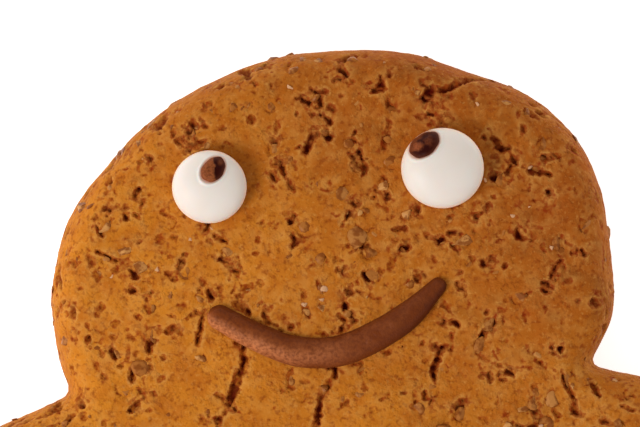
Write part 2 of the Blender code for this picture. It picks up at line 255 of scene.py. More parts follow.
# What baking did to the top of the head: cracks and holes as (width, route), and sugar grains
# that lie bare as (x, y, radius).
DEEP_CRACKS = (
    (0.6, (-6.9, 3.9), (-7.0, 3.1), (-7.0, 2.2), (-7.3, 1.4), (-7.8, 0.6), (-8.1, -0.2), (-8.4, -1.1)),
    (0.4, (-8.4, -1.1), (-8.8, -1.8), (-9.4, -2.3), (-9.5, -3.1), (-9.9, -4.4)),
    (0.4, (-10.0, 6.5), (-10.3, 5.6), (-10.5, 4.8), (-10.8, 4.0)),
    (0.6, (-0.9, -1.0), (-1.1, -1.8), (-1.3, -2.6), (-1.5, -3.4), (-1.9, -4.4), (-1.9, -5.6)),
    (0.4, (0.3, 1.5), (0.4, 0.9), (0.0, 0.5), (-0.5, -0.3), (-0.9, -1.0)),
    (0.4, (8.7, 2.9), (8.9, 2.4)),
    (0.5, (9.2, 2.4), (8.9, 2.1), (8.7, 1.3), (8.4, 0.6), (8.5, -0.1)),
    (0.4, (10.0, 4.6), (10.5, 4.5), (10.7, 4.1)),
    (0.4, (13.8, 4.9), (13.5, 4.2), (13.0, 3.7)),
    (0.6, (13.0, 3.9), (12.6, 3.2), (12.3, 2.9)),
    (0.4, (19.4, 9.2), (18.9, 8.7), (18.6, 8.1), (18.4, 7.6)),
    (0.6, (18.1, 7.2), (18.0, 6.7)),
    (0.3, (18.9, 0.1), (19.0, -0.3), (19.2, -1.1), (19.6, -1.8), (19.8, -2.4), (19.9, -3.6)),
    (0.9, (8.9, 22.9), (9.3, 23.3), (9.7, 23.7)),
    (0.5, (9.7, 23.7), (10.5, 23.6), (11.2, 23.7), (12.0, 24.1), (12.6, 24.3), (13.3, 24.3), (14.2, 24.6)),
    (0.5, (5.5, 25.0), (5.7, 24.4), (5.5, 24.0), (4.9, 23.7)),
    (0.6, (-0.3, 20.4), (-0.6, 19.9), (-0.8, 19.4), (-1.0, 19.0)),
    (0.5, (0.8, 21.9), (1.1, 21.6), (1.2, 21.2)),
    (0.5, (0.9, 20.3), (1.1, 20.2)),
    (0.4, (0.2, 24.0), (0.9, 24.0)),
    (0.4, (0.4, 23.6), (0.5, 23.0)),
    (0.4, (-0.9, 23.4), (-0.3, 23.2)),
    (0.5, (2.7, 26.7), (2.7, 26.5)),
    (0.5, (2.2, 25.8), (2.7, 25.4)),
    (0.5, (3.4, 18.9), (3.6, 18.6)),
    (0.4, (3.6, 18.4), (3.8, 17.7), (3.7, 17.1)),
    (0.5, (-3.5, 20.2), (-3.3, 20.1)),
    (0.4, (-3.0, 18.6), (-2.9, 17.7), (-2.7, 17.2)),
    (0.4, (-3.8, 17.5), (-3.6, 17.1)),
    (0.4, (-9.5, 13.3), (-9.2, 13.8)),
    (0.6, (-8.7, 12.8), (-8.2, 12.4), (-7.8, 12.2)),
    (0.6, (-8.5, 10.9), (-8.0, 10.7), (-7.7, 10.8)),
    (0.25, (-18.5, 12.1), (-17.9, 11.8), (-17.3, 11.4), (-16.8, 11.2)),
    (0.5, (-15.8, 10.3), (-15.5, 9.9), (-15.2, 9.8)),
    (0.4, (-15.8, 8.7), (-15.6, 8.7)),
    (0.3, (-14.6, 8.2), (-14.3, 8.4)),
    (0.5, (-17.5, 15.6), (-17.3, 15.5)),
    (0.4, (-18.4, 14.1), (-18.1, 13.7), (-17.9, 13.2)),
    (0.3, (-16.0, 15.0), (-15.9, 14.6)),
    (0.4, (-15.3, 16.3), (-15.0, 16.6), (-14.7, 16.9)),
    (0.25, (-20.8, 7.6), (-20.8, 7.2), (-20.7, 6.7)),
    (0.5, (-9.4, 8.2), (-9.4, 7.7)),
    (0.4, (-11.6, 10.9), (-11.8, 10.3)),
    (0.4, (-13.1, 5.2), (-12.6, 5.4)),
    (0.5, (-14.2, 4.5), (-14.6, 4.2), (-14.8, 3.5)),
    (0.4, (-14.9, 2.2), (-14.7, 2.3)),
    (0.4, (-16.0, 2.9), (-16.2, 1.8), (-16.3, 1.2)),
    (0.5, (-15.7, -0.3), (-16.1, -0.8), (-16.5, -1.1)),
    (0.5, (-17.7, 3.9), (-17.5, 3.4)),
    (0.4, (-19.7, 5.1), (-19.6, 4.8)),
    (0.4, (-21.9, -1.6), (-21.4, -1.2)),
    (0.5, (-5.2, 6.2), (-4.9, 5.4), (-4.2, 5.2)),
    (0.6, (-7.5, 7.2), (-6.9, 6.8), (-6.3, 6.3)),
    (0.3, (-3.1, 5.0), (-2.9, 5.0)),
    (0.4, (-7.3, 9.8), (-7.1, 9.7)),
    (0.4, (-2.3, 14.0), (-2.5, 13.6)),
    (0.4, (-2.3, 12.2), (-2.2, 11.9), (-2.5, 11.5)),
    (0.4, (2.6, 14.7), (2.8, 14.6)),
    (0.5, (2.3, 14.1), (2.2, 13.7), (1.7, 13.1)),
    (0.5, (3.2, 11.3), (3.6, 11.1)),
    (0.3, (1.5, 9.3), (1.8, 9.6)),
    (0.5, (3.3, 8.8), (3.6, 8.4)),
    (0.4, (6.4, 10.9), (6.9, 10.9)),
    (0.4, (6.0, 12.4), (6.7, 12.5)),
    (0.4, (7.4, 14.2), (7.9, 14.0)),
    (0.4, (5.6, 15.3), (5.6, 15.1)),
    (0.3, (4.2, 15.1), (4.5, 15.2)),
    (0.3, (1.9, 7.5), (2.1, 7.5)),
    (0.5, (1.5, 6.4), (1.5, 6.2)),
    (0.4, (1.0, 5.6), (1.4, 5.2)),
    (0.4, (1.1, 4.6), (1.2, 4.3)),
    (0.4, (7.6, 8.4), (7.6, 8.1)),
    (0.5, (12.7, 12.6), (12.7, 13.1), (13.1, 13.4)),
    (0.5, (13.5, 13.7), (13.7, 13.9)),
    (0.5, (9.6, 11.2), (9.9, 11.3)),
    (0.4, (10.4, 11.8), (10.9, 11.9)),
    (0.4, (16.0, 12.0), (15.9, 11.5), (16.2, 11.2), (16.6, 11.1)),
    (0.4, (13.0, 9.4), (13.0, 9.1)),
    (0.4, (10.8, 7.8), (11.1, 7.3)),
    (0.4, (21.2, 9.8), (21.3, 9.5)),
    (0.5, (18.7, 14.7), (18.8, 14.5)),
    (0.4, (17.1, 16.6), (17.8, 16.5), (18.4, 16.3), (19.0, 16.2)),
    (0.6, (18.6, 17.6), (18.9, 17.6)),
    (0.5, (14.3, 19.4), (14.8, 19.2), (14.9, 18.7), (15.3, 18.4), (15.8, 18.5)),
    (0.4, (15.8, 18.1), (16.0, 17.6), (16.2, 17.1)),
    (0.4, (15.4, 16.5), (15.8, 17.0)),
    (0.5, (14.3, 16.4), (14.5, 16.0)),
    (0.5, (9.3, 21.7), (9.6, 21.6)),
    (0.4, (10.3, 21.1), (10.4, 20.8)),
    (0.5, (-10.0, 22.1), (-9.9, 21.9)),
    (0.4, (-10.4, 21.4), (-10.2, 21.4)),
    (0.4, (-11.4, 20.7), (-11.1, 20.4)),
    (0.4, (-10.5, 19.9), (-9.8, 20.3), (-9.1, 20.6)),
    (0.4, (-13.8, 19.5), (-13.6, 19.4)),
    (0.4, (-3.9, 26.5), (-3.8, 26.3)),
    (0.4, (-5.4, 25.7), (-5.2, 25.6)),
    (0.4, (-17.3, 17.9), (-17.1, 17.8)),
    (0.4, (13.0, 0.2), (13.1, -0.3)),
    (0.3, (13.5, 1.0), (13.9, 0.8)),
    (0.5, (14.4, 0.2), (14.9, 0.0)),
    (0.4, (7.6, -1.1), (7.7, -1.5)),
    (0.4, (16.4, -2.8), (16.6, -3.1)),
    (0.4, (18.9, 1.8), (19.1, 1.9)),
    (0.4, (21.9, 5.6), (22.2, 5.2)),
    (0.4, (10.5, -2.0), (10.2, -2.6)),
)
SHALLOW_CRACKS = (
    (0.3, (-16.8, 11.2), (-16.0, 11.1), (-15.7, 10.8)),
    (0.2, (-12.7, 15.9), (-12.9, 15.2), (-12.9, 14.9), (-12.3, 14.5), (-11.9, 14.3)),
    (0.3, (-15.1, 12.5), (-14.8, 12.7), (-14.4, 12.9)),
    (0.3, (-13.4, 12.9), (-13.0, 12.5)),
    (0.3, (-20.7, 11.4), (-20.4, 11.1), (-20.0, 11.2)),
    (0.5, (-19.2, 11.6), (-19.0, 11.1)),
    (0.3, (-21.0, 12.4), (-20.8, 12.5)),
    (0.3, (-12.9, 10.0), (-12.6, 9.9)),
    (0.3, (-12.4, 9.4), (-12.2, 9.5)),
    (0.2, (-11.6, 10.9), (-11.1, 11.5)),
    (0.3, (-10.2, 9.4), (-9.9, 9.0), (-9.4, 8.8)),
    (0.3, (-18.8, 7.1), (-18.7, 7.0)),
    (0.3, (-18.4, 7.6), (-18.4, 7.3)),
    (0.4, (-18.7, 10.1), (-18.5, 10.0)),
    (0.3, (-14.7, 7.3), (-14.4, 6.9)),
    (0.3, (-15.6, 6.7), (-15.3, 6.5)),
    (0.4, (-17.4, 6.1), (-17.2, 6.2)),
    (0.2, (-15.7, 5.5), (-15.3, 5.1)),
    (0.3, (-16.2, 5.0), (-16.0, 4.8)),
    (0.3, (-19.6, 4.3), (-19.4, 4.2)),
    (0.3, (-18.7, 3.9), (-18.6, 3.6)),
    (0.3, (-19.2, 2.7), (-19.1, 2.5)),
    (0.3, (-20.4, -1.2), (-20.3, -1.4)),
    (0.3, (-10.8, -2.0), (-10.5, -2.3)),
    (0.3, (-5.1, 16.8), (-5.0, 16.6)),
    (0.4, (-2.7, 17.4), (-2.5, 17.1), (-2.3, 16.5), (-2.1, 16.0)),
    (0.2, (-4.4, 12.2), (-4.3, 11.5), (-4.5, 11.1)),
    (0.3, (-5.3, 12.3), (-5.2, 12.1)),
    (0.2, (-6.9, 10.8), (-6.9, 10.3), (-7.2, 9.9)),
    (0.3, (-1.1, 9.8), (-0.9, 9.9)),
    (0.3, (6.0, 10.4), (5.6, 9.7), (5.3, 9.0)),
    (0.3, (6.6, 13.0), (6.8, 13.1)),
    (0.3, (4.5, 9.1), (4.7, 9.0)),
    (0.3, (-0.6, 8.6), (-0.5, 8.1)),
    (0.4, (-6.7, 8.4), (-6.1, 8.5)),
    (0.3, (-1.9, 8.0), (-1.8, 7.3)),
    (0.3, (-1.9, 6.6), (-1.5, 5.8)),
    (0.3, (-5.3, 8.8), (-5.1, 8.7)),
    (0.3, (3.7, 7.2), (3.8, 7.0)),
    (0.3, (-3.1, 1.6), (-3.4, 0.9), (-3.4, 0.2), (-3.1, -0.1)),
    (0.2, (-2.3, 0.5), (-1.9, 0.5)),
    (0.3, (2.6, 1.6), (2.5, 1.0)),
    (0.3, (2.6, 0.0), (2.9, -0.4)),
    (0.3, (0.8, -1.7), (1.3, -1.4)),
    (0.3, (6.5, -2.1), (6.9, -1.8), (7.3, -2.3)),
    (0.3, (4.5, 2.4), (4.8, 2.4)),
    (0.3, (5.3, 16.8), (5.5, 16.4)),
    (0.3, (17.2, 14.1), (18.0, 14.1), (18.4, 13.9), (18.6, 13.2)),
    (0.4, (10.4, 13.2), (10.9, 13.3)),
    (0.3, (11.1, 14.3), (11.4, 14.2)),
    (0.3, (10.5, 10.9), (11.0, 10.5), (11.1, 10.1)),
    (0.3, (8.4, 12.0), (8.8, 11.6)),
    (0.3, (14.2, 10.9), (14.5, 10.9)),
    (0.4, (12.0, 9.8), (12.2, 9.6)),
    (0.3, (16.3, 13.7), (16.4, 13.4)),
    (0.3, (19.8, 7.4), (20.0, 7.4)),
    (0.3, (9.0, 9.9), (9.1, 9.6)),
    (0.3, (13.7, 9.7), (13.9, 9.6)),
    (0.2, (1.1, 25.6), (1.7, 25.8), (2.2, 25.8)),
    (0.4, (6.0, 22.9), (6.3, 22.5), (6.9, 22.0)),
    (0.3, (10.0, 22.5), (10.1, 22.3)),
    (0.4, (3.0, 20.0), (3.2, 19.8)),
    (0.3, (6.1, 21.1), (6.0, 20.8)),
    (0.4, (5.9, 20.3), (5.6, 19.7), (5.5, 19.2)),
    (0.3, (8.6, 25.6), (9.2, 25.3)),
    (0.3, (8.8, 24.4), (8.9, 24.2)),
    (0.3, (-1.9, 18.2), (-1.8, 17.9)),
    (0.4, (1.3, 22.7), (1.5, 22.5)),
    (0.3, (-0.4, 22.4), (-0.2, 22.3)),
    (0.4, (-5.3, 22.3), (-5.2, 22.0)),
    (0.3, (-3.1, 21.8), (-3.2, 21.2)),
    (0.3, (-7.1, 25.4), (-6.5, 25.1), (-6.0, 25.2)),
    (0.3, (-4.9, 25.3), (-4.8, 24.9)),
    (0.3, (-8.9, 23.5), (-8.5, 23.6)),
    (0.3, (-9.2, 23.1), (-9.0, 23.2)),
    (0.3, (-9.4, 22.5), (-9.2, 22.2)),
    (0.3, (-12.9, 21.8), (-12.7, 21.9)),
    (0.3, (-12.8, 21.4), (-12.9, 21.3)),
    (0.3, (-11.8, 21.6), (-11.7, 21.4)),
    (0.3, (-14.6, 19.2), (-14.0, 19.7)),
    (0.3, (-15.4, 19.9), (-15.3, 19.7)),
    (0.3, (-14.4, 21.1), (-14.3, 21.0)),
    (0.3, (-11.5, 23.2), (-11.1, 23.2)),
    (0.4, (12.9, 23.2), (13.1, 22.9)),
    (0.4, (17.7, 22.1), (17.9, 22.0)),
    (0.3, (16.6, 21.4), (16.6, 21.2)),
    (0.3, (17.4, 21.6), (17.9, 21.1), (18.2, 20.8)),
    (0.4, (16.9, 20.3), (16.9, 19.9)),
    (0.3, (19.2, 17.9), (19.8, 17.6)),
    (0.3, (20.7, 17.1), (20.9, 17.1)),
    (0.3, (14.3, 17.9), (14.5, 17.8)),
    (0.4, (12.1, 2.0), (12.4, 1.5)),
    (0.3, (14.1, 5.4), (14.5, 5.3)),
    (0.3, (16.7, 1.1), (17.2, 0.8), (17.6, 0.4)),
    (0.4, (10.2, 5.3), (9.8, 5.9), (9.4, 6.0)),
    (0.3, (16.6, -1.1), (16.7, -1.5)),
    (0.3, (16.1, 4.7), (16.2, 4.3)),
    (0.4, (18.0, -3.0), (18.4, -3.6)),
)
BARE_GRAINS = (
    (-12.4, 14.1, 0.6), (-17.6, 14.0, 0.5), (-16.4, 11.9, 0.7), (-17.8, 11.3, 0.4), (-15.2, 10.5, 0.6),
    (-14.6, 8.9, 0.6), (-11.2, 10.0, 0.7), (-10.3, 7.7, 0.5), (-14.1, 7.2, 0.4), (-18.9, 16.0, 0.4),
    (-8.9, 13.3, 0.3), (-7.8, 11.4, 0.5), (-18.2, 10.3, 0.5), (-20.3, 11.6, 0.4), (-19.0, 4.2, 0.5),
    (-14.3, 5.0, 0.7), (-15.4, 2.6, 0.7), (-16.9, 0.8, 0.8), (-15.8, -1.3, 0.4), (-17.2, 3.6, 0.5),
    (-10.5, 2.7, 0.5), (-0.3, 16.4, 0.4), (2.3, 15.6, 0.8), (2.0, 14.1, 0.4), (3.8, 14.1, 0.4),
    (5.2, 15.9, 0.5), (-1.3, 12.9, 0.8), (2.7, 12.1, 0.8), (3.8, 10.7, 0.7), (4.2, 12.2, 0.5),
    (-0.3, 10.3, 0.6), (6.6, 10.5, 0.4), (6.9, 13.5, 0.5), (4.0, 8.7, 0.6), (7.0, 7.9, 0.4),
    (-0.3, 7.9, 0.4), (-6.4, 8.0, 0.4), (1.6, 5.8, 0.4), (-0.4, 6.4, 0.4), (14.8, 15.8, 0.5),
    (11.4, 11.2, 0.7), (9.9, 10.9, 0.4), (14.7, 11.5, 0.5), (19.3, 10.3, 0.7), (19.5, 9.7, 0.4),
    (11.9, 9.3, 0.4), (21.6, 11.7, 0.6), (17.9, 17.0, 0.7), (17.3, 16.9, 0.3), (18.5, 18.6, 0.6),
    (20.2, 17.2, 0.5), (17.4, 21.3, 0.5), (15.6, 22.4, 0.5), (9.4, 25.5, 0.4), (3.5, 26.5, 0.5),
    (-1.7, 26.1, 0.5), (0.1, 23.5, 0.4), (0.9, 20.8, 0.4), (6.3, 22.3, 0.4), (2.6, 19.7, 0.5),
    (3.1, 17.8, 0.5), (5.9, 19.8, 0.4), (6.0, 17.8, 0.5), (-3.6, 23.1, 0.6), (-2.8, 23.3, 0.4),
    (-3.5, 19.5, 0.5), (-2.8, 19.4, 0.5), (-2.4, 18.7, 0.4), (-6.7, 23.1, 0.4), (-6.0, 23.1, 0.4),
    (-5.4, 23.3, 0.4), (-6.8, 25.3, 0.4), (-6.1, 24.9, 0.3), (-4.5, 26.2, 0.4), (-8.5, 23.1, 0.4),
    (-9.5, 21.4, 0.5), (-11.4, 23.1, 0.5), (-9.1, 20.1, 0.4), (-17.3, 17.4, 0.4), (-11.8, 21.9, 0.4),
    (9.2, 0.8, 0.5), (8.3, -0.9, 0.6), (13.2, 4.3, 0.5), (12.5, 2.6, 0.6), (17.0, 1.6, 0.4),
    (15.6, -2.7, 0.7), (16.6, -2.3, 0.6), (16.8, -1.5, 0.4), (10.4, -3.0, 0.6), (15.7, 6.2, 0.6),
    (-0.6, -0.4, 0.5), (-3.1, 0.6, 0.4), (-2.6, -0.8, 0.5), (2.6, 1.1, 0.4), (2.2, -0.6, 0.5),
    (0.9, -1.2, 0.4), (6.9, -2.4, 0.5), (-1.7, 6.2, 0.4),
)


TOP_CRACKS, SIDE_CRACKS, PORES = 2600, 900, 5200
CRACK_WIDTH, CRACK_LENGTH = 0.3, 0.8
RAGGED = 0.13  # how far a crack's edge wanders
WALL, SHOULDER = 0.13, 0.26  # how wide a crack's wall is, and the worn edge round it
LIP, LIP_AWAY, LIP_WIDTH = 0.06, 0.14, 0.10  # the lifted crust beside a crack
SATELLITES = 6  # small holes round each of the head's deep cracks


def lifted(routes):
    """Routes on the top, given as arrays of x and y, with the top's height as their z."""
    ends = np.cumsum([len(route) for route in routes])
    flat = np.concatenate(routes)
    return np.split(np.column_stack([flat, top_height(*flat.T)]), ends[:-1])


def bent(draw, start, length):
    """Routes of three points from each start: half the length on a random heading, and half on
    a heading up to some 60 degrees off it."""
    heading = draw.uniform(0, math.tau, len(start))
    turned = heading + draw.normal(0, 0.6, len(start))
    half = 0.5 * length[:, None]
    middle = start + half * np.column_stack([np.cos(heading), np.sin(heading)])
    tip = middle + half * np.column_stack([np.cos(turned), np.sin(turned)])
    return np.stack([start, middle, tip], axis=1)


def on_strip(row, column):
    """Points of the side between its rows and columns, each the mix of the four round it."""
    row = np.clip(row, 0, len(strip) - 1.01)
    up, along = (row % 1)[..., None], (column % 1)[..., None]
    i, j, turn = row.astype(int), np.floor(column).astype(int), strip.shape[1]
    low = strip[i, j % turn] * (1 - along) + strip[i, (j + 1) % turn] * along
    high = strip[i + 1, j % turn] * (1 - along) + strip[i + 1, (j + 1) % turn] * along
    return low * (1 - up) + high * up


def random_cuts(draw, routes, length):
    """A cut for each route: a width e to the power of a normal draw, deeper where wide or long."""
    width = np.clip(CRACK_WIDTH * np.exp(draw.normal(0, 0.35, len(routes))), 0.16, 0.75)
    deep = np.minimum(0.2 + 0.8 * width, 0.3 + 0.4 * length)
    return list(zip(routes, width / 2, deep))


def cut_depth(points, cuts):
    """How deep the cuts sink each point, how strongly it is stained, and how far it is lifted. A
    cut is a trough along its route, narrower to its ends: its wall eases down over WALL, its
    stain out over SHOULDER, and its lip is a bell curve LIP_AWAY from the wall."""
    order = np.argsort(points[:, 0])
    first = points[order, 0]
    wander = RAGGED * (unevenness(points, 0.5) + 0.8 * unevenness(points, 1.1, 7.3)
                       + 0.9 * unevenness(points, 0.28, 2.6))
    # Bits of dough fill the cracks here and there.
    crumbs = 0.66 + 0.34 * unevenness(points, 0.6, 3.3) + 0.50 * unevenness(points, 0.33, 8.3)
    crumbs = np.clip(crumbs, 0.15, 1.1)
    depth, stain, lift = np.zeros((3, len(points)))
    for route, half, deep in cuts:
        reach = half + SHOULDER + 2 * RAGGED
        low, high = route.min(axis=0) - reach, route.max(axis=0) + reach
        some = order[np.searchsorted(first, low[0]):np.searchsorted(first, high[0])]
        some = some[((points[some, 1:] > low[1:]) & (points[some, 1:] < high[1:])).all(axis=1)]
        place = points[some]
        beyond = np.full(len(some), reach)
        for leg in range(len(route) - 1):
            step = route[leg + 1] - route[leg]
            share = np.clip((place - route[leg]) @ step / (step @ step), 0, 1)
            off = np.linalg.norm(place - route[leg] - share[:, None] * step, axis=1)
            run = (leg + share) / (len(route) - 1)
            taper = 1 - 0.45 * np.abs(2 * run - 1) ** 2 if len(route) > 2 else 1
            beyond = np.minimum(beyond, off - half * taper)
        beyond += wander[some]
        fall = np.clip(-beyond / min(WALL, 1.3 * half), 0, 1)
        worn = np.clip(1 - beyond / SHOULDER, 0, 1) ** 2
        fall *= fall * (3 - 2 * fall) * crumbs[some]
        lip = LIP * min(1, deep / 0.5) * np.exp(-(((beyond - LIP_AWAY) / LIP_WIDTH) ** 2))
        depth[some] = np.maximum(depth[some], deep * (0.94 * fall + 0.06 * worn))
        stain[some] = np.maximum(stain[some], worn * min(1, deep / 0.35))
        lift[some] = np.maximum(lift[some], lip)
    return depth, stain, lift * (0.5 + 0.8 * np.abs(unevenness(points, 0.7, 6.2)))


def soft_relief(points):
    """The unevenness of the baked skin: swells some 10 mm long, down to a grain under 1 mm."""
    return (0.10 * unevenness(points, 9.0, 2.1) + 0.08 * unevenness(points, 4.0, 5.2)
            + 0.045 * unevenness(points, 1.8, 1.4) + 0.03 * unevenness(points, 0.8, 3.7)) - 0.05


draw = np.random.default_rng(71)
low, high = outline.min(axis=0), outline.max(axis=0)
cuts = []
for cracks, least, per_width in ((DEEP_CRACKS, 0.32, 0.75), (SHALLOW_CRACKS, 0.12, 0.5)):
    for crack, route in zip(cracks, lifted([np.array(crack[1:]) for crack in cracks])):
        cuts.append((route, crack[0] / 2 + 0.03, least + per_width * crack[0]))
around = np.repeat([crack[1] for crack in DEEP_CRACKS], SATELLITES, axis=0)
around = around + draw.normal(0, 0.55, around.shape)
length = draw.uniform(0.1, 0.6, len(around))
for route in lifted(bent(draw, around, length)):
    cuts.append((route, draw.uniform(0.07, 0.17), draw.uniform(0.15, 0.45)))
start = draw.uniform(low, high, (TOP_CRACKS, 2))
start = start[(inside(*start.T) > 0.5) & ((start[:, 1] < -4) | (head(*start.T) < 0.6))]
length = np.clip(CRACK_LENGTH * np.exp(draw.normal(0, 0.7, len(start))), 0.1, 4.0)
cuts += random_cuts(draw, lifted(bent(draw, start, length)), length)
place = draw.uniform((0, 0), (len(strip) - 2, len(outline)), (SIDE_CRACKS, 2))
length = np.clip(CRACK_LENGTH * np.exp(draw.normal(0, 0.7, SIDE_CRACKS)), 0.1, 3.0)
routes = bent(draw, place, length / SIDE_STEP)
cuts += random_cuts(draw, on_strip(routes[..., 0], routes[..., 1]), length)
start = draw.uniform(low, high, (PORES, 2))
start = start[inside(*start.T) > 0.6]
for route in lifted(bent(draw, start, draw.uniform(0.05, 0.6, len(start)))):
    cuts.append((route, draw.uniform(0.04, 0.14), draw.uniform(0.05, 0.30)))

# Bare grains: the head's own, and random ones over the rest of the top and the side.
GRAINS, SIDE_GRAINS, SMALL_GRAINS = 700, 220, 240
start = draw.uniform(low, high, (GRAINS * 2, 2))
start = start[(inside(*start.T) > 1) & ((start[:, 1] < -4) | (head(*start.T) < 0.6))][:GRAINS]
small = draw.uniform(low, high, (SMALL_GRAINS * 2, 2))
small = small[inside(*small.T) > 1][:SMALL_GRAINS]
flat = np.concatenate([np.array(BARE_GRAINS)[:, :2], start, small])
grain_size = np.concatenate([np.array(BARE_GRAINS)[:, 2],
                             draw.uniform(0.35, 0.8, len(start)), draw.uniform(0.18, 0.34, len(small))])
grain_place, grain_out = top_points(*flat.T)

side_points, side_out = strip.reshape(-1, 3), strip_out.reshape(-1, 3)
place = draw.uniform((4, 0), (len(strip) - 2, len(outline)), (SIDE_GRAINS, 2))
nearest = (np.rint(place[:, 0]) * len(outline) + np.rint(place[:, 1]) % len(outline)).astype(int)
grain_place = np.concatenate([grain_place, side_points[nearest]])
grain_out = np.concatenate([grain_out, side_out[nearest]])
grain_size = np.concatenate([grain_size, draw.uniform(0.3, 0.7, SIDE_GRAINS)])
grain_crescent = draw.uniform(0, math.tau, len(grain_size))


def sockets(points):
    """How deep the grains' sockets sink each point: a shallow bowl with a darker gap round the
    grain, widest on one side. Also the share of each point that is a gap."""
    order = np.argsort(points[:, 0])
    first = points[order, 0]
    sunk, gap = np.zeros(len(points)), np.zeros(len(points))
    for middle, size, turn in zip(grain_place, grain_size, grain_crescent):
        reach = 1.4 * size
        some = order[np.searchsorted(first, middle[0] - reach):np.searchsorted(first, middle[0] + reach)]
        away = points[some] - middle
        distance = np.linalg.norm(away, axis=1)
        some, away, distance = (kept[distance < reach] for kept in (some, away, distance))
        toward = (away[:, 0] * math.cos(turn) + away[:, 1] * math.sin(turn)) / (distance + 1e-6)
        ring = 1 - np.abs(distance / size - 0.90) / 0.20
        ring = np.clip(ring, 0, 1) * np.clip(0.15 + 0.8 * toward, 0, 1)
        bowl = np.clip((0.92 - distance / size) / 0.2, 0, 1)
        sunk[some] = np.maximum(sunk[some], 0.16 * size * bowl + 0.40 * size * ring)
        gap[some] = np.maximum(gap[some], ring)
    return sunk, gap


def skin(points, out):
    """The finished skin: points sunk by cuts and sockets, and swelled by lips and soft relief."""
    depth, stain, lift = cut_depth(points, cuts)
    sunk, gap = sockets(points)
    depth = np.maximum(depth, sunk)
    moved = points + out * (soft_relief(points) + lift - depth)[:, None]
    return moved, np.column_stack([depth, np.maximum(stain, gap), lift])


TOLERANCE = 0.014  # a point stays only where leaving it out would shift the skin this far
COARSEST = 8  # in steps of the fine lattice
BASE_STEP = 1.3


def top_lattice():
    """The top's points and their relief: a coarse lattice of triangles, and those finer points
    that the relief needs. A finer point halves an edge of the lattice twice as coarse, so its
    need is how far its height lies from the mean of the edge's ends."""
    rise = FACE_STEP * math.sqrt(0.75)
    r, c = np.mgrid[0:math.ceil((high[1] - low[1]) / rise), 0:math.ceil((high[0] - low[0]) / FACE_STEP)]
    q = c - r // 2
    x, y = low[0] + FACE_STEP * (q + r / 2), low[1] + rise * r
    within = inside(x, y) > SEAM + 0.5 * FACE_STEP
    within &= (y > FACE_LOW) | ((r % 2 == 0) & (q % 2 == 0))
    points, marks = skin(*top_points(x[within], y[within]))
    height = np.full(x.shape, np.inf)
    height[within] = points[:, 2]
    need = (r % COARSEST == 0) & (q % COARSEST == 0)
    for gap in (1, 2, 4):
        i, j = r // gap, q // gap
        for ahead, beside in (((0, 1), (i % 2 == 0) & (j % 2 == 1)), ((1, 0), (i % 2 == 1) & (j % 2 == 0)),
                              ((1, -1), (i % 2 == 1) & (j % 2 == 1))):
            some = np.nonzero(within & beside & (r % gap == 0) & (q % gap == 0))
            ends = 0
            for way in (-gap, gap):
                end_r = np.clip(r[some] + way * ahead[0], 0, r.shape[0] - 1)
                end_c = np.clip(q[some] + way * ahead[1] + end_r // 2, 0, r.shape[1] - 1)
                ends = ends + height[end_r, end_c]
            need[some] |= np.abs(height[some] - ends / 2) > TOLERANCE
    chosen = need[within]
    return np.column_stack([x[within], y[within]])[chosen], points[chosen], marks[chosen]


def capped(ring, points):
    """Triangles over the points inside a ring, the ring's own points numbered first."""
    flat = [Vector(point) for point in np.concatenate([ring, points])]
    _, _, faces, source, _, _ = delaunay_2d_cdt(flat, [], [list(range(len(ring)))], 1, 1e-7)
    origin = np.array([names[0] for names in source])
    return origin[np.array(faces)]


def new_piece(name, points, faces, smooth=True):
    """A mesh object from points in metres and faces of three or four corners each."""
    mesh = bpy.data.meshes.new(name)
    mesh.from_pydata(points, [], faces)
    mesh.polygons.foreach_set("use_smooth", [smooth] * len(mesh.polygons))
    piece = bpy.data.objects.new(name, mesh)
    bpy.context.scene.collection.objects.link(piece)
    return piece


top_flat, top_skin, top_marks = top_lattice()
side_count, turn = strip.shape[:2]
side_skin, side_marks = skin(side_points, side_out)
held = np.clip(side_points[:, 2:] / 0.8, 0, 1)  # the base's own edge stays flat
side_skin = side_points + (side_skin - side_points) * held
side_skin[:, 2] = np.maximum(side_skin[:, 2], 0)

base_x, base_y, _, _ = lattice(low, high, BASE_STEP)
base_in = inside(base_x, base_y) > BASE_INSET + 0.6 * BASE_STEP
base_skin = np.column_stack([base_x[base_in], base_y[base_in], np.zeros(base_in.sum())])
base_skin[:, 2] = 0.3 * np.clip(unevenness(base_skin, 6.0, 9.1) - 0.25, 0, 1)

ring_on_top = side_points[(side_count - 1) * turn:, :2]
top_faces = capped(ring_on_top, top_flat) + (side_count - 1) * turn
base_faces = capped(side_points[:turn, :2], base_skin[:, :2])[:, ::-1]
base_faces = np.where(base_faces >= turn, base_faces - turn + len(side_points) + len(top_skin), base_faces)
here = np.arange(turn * (side_count - 1)).reshape(side_count - 1, turn)
beside = np.roll(here, -1, axis=1)
side_faces = np.stack([here, beside, beside + turn, here + turn], axis=-1).reshape(-1, 4)

middle_x, middle_y = (np.array(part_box("biscuit")[0]) + np.array(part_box("biscuit")[1]))[:2] * 500 - (low + high) / 2
IN_METRES = 0.001


def placed(points):
    """Points in millimetres from the neck, as metres in the frame."""
    return (np.asarray(points, float) + (middle_x, middle_y, 0)) * IN_METRES


crust_points = placed(np.concatenate([side_skin, top_skin, base_skin]))
crust = new_piece("crust", crust_points, side_faces.tolist() + top_faces.tolist() + base_faces.tolist())


def mark(piece, name, values):
    """A number at each of the piece's points, for its material to read."""
    piece.data.attributes.new(name, "FLOAT", "POINT").data.foreach_set("value", np.asarray(values, "f"))


def new_finish(name, **sockets):
    """A material with plain values on its shader's sockets, and its tree of nodes."""
    material = bpy.data.materials.new(name)
    material.use_nodes = True
    shader = material.node_tree.nodes["Principled BSDF"]
    for socket, value in sockets.items():
        shader.inputs[socket.replace("_", " ")].default_value = value
    return material, material.node_tree, shader


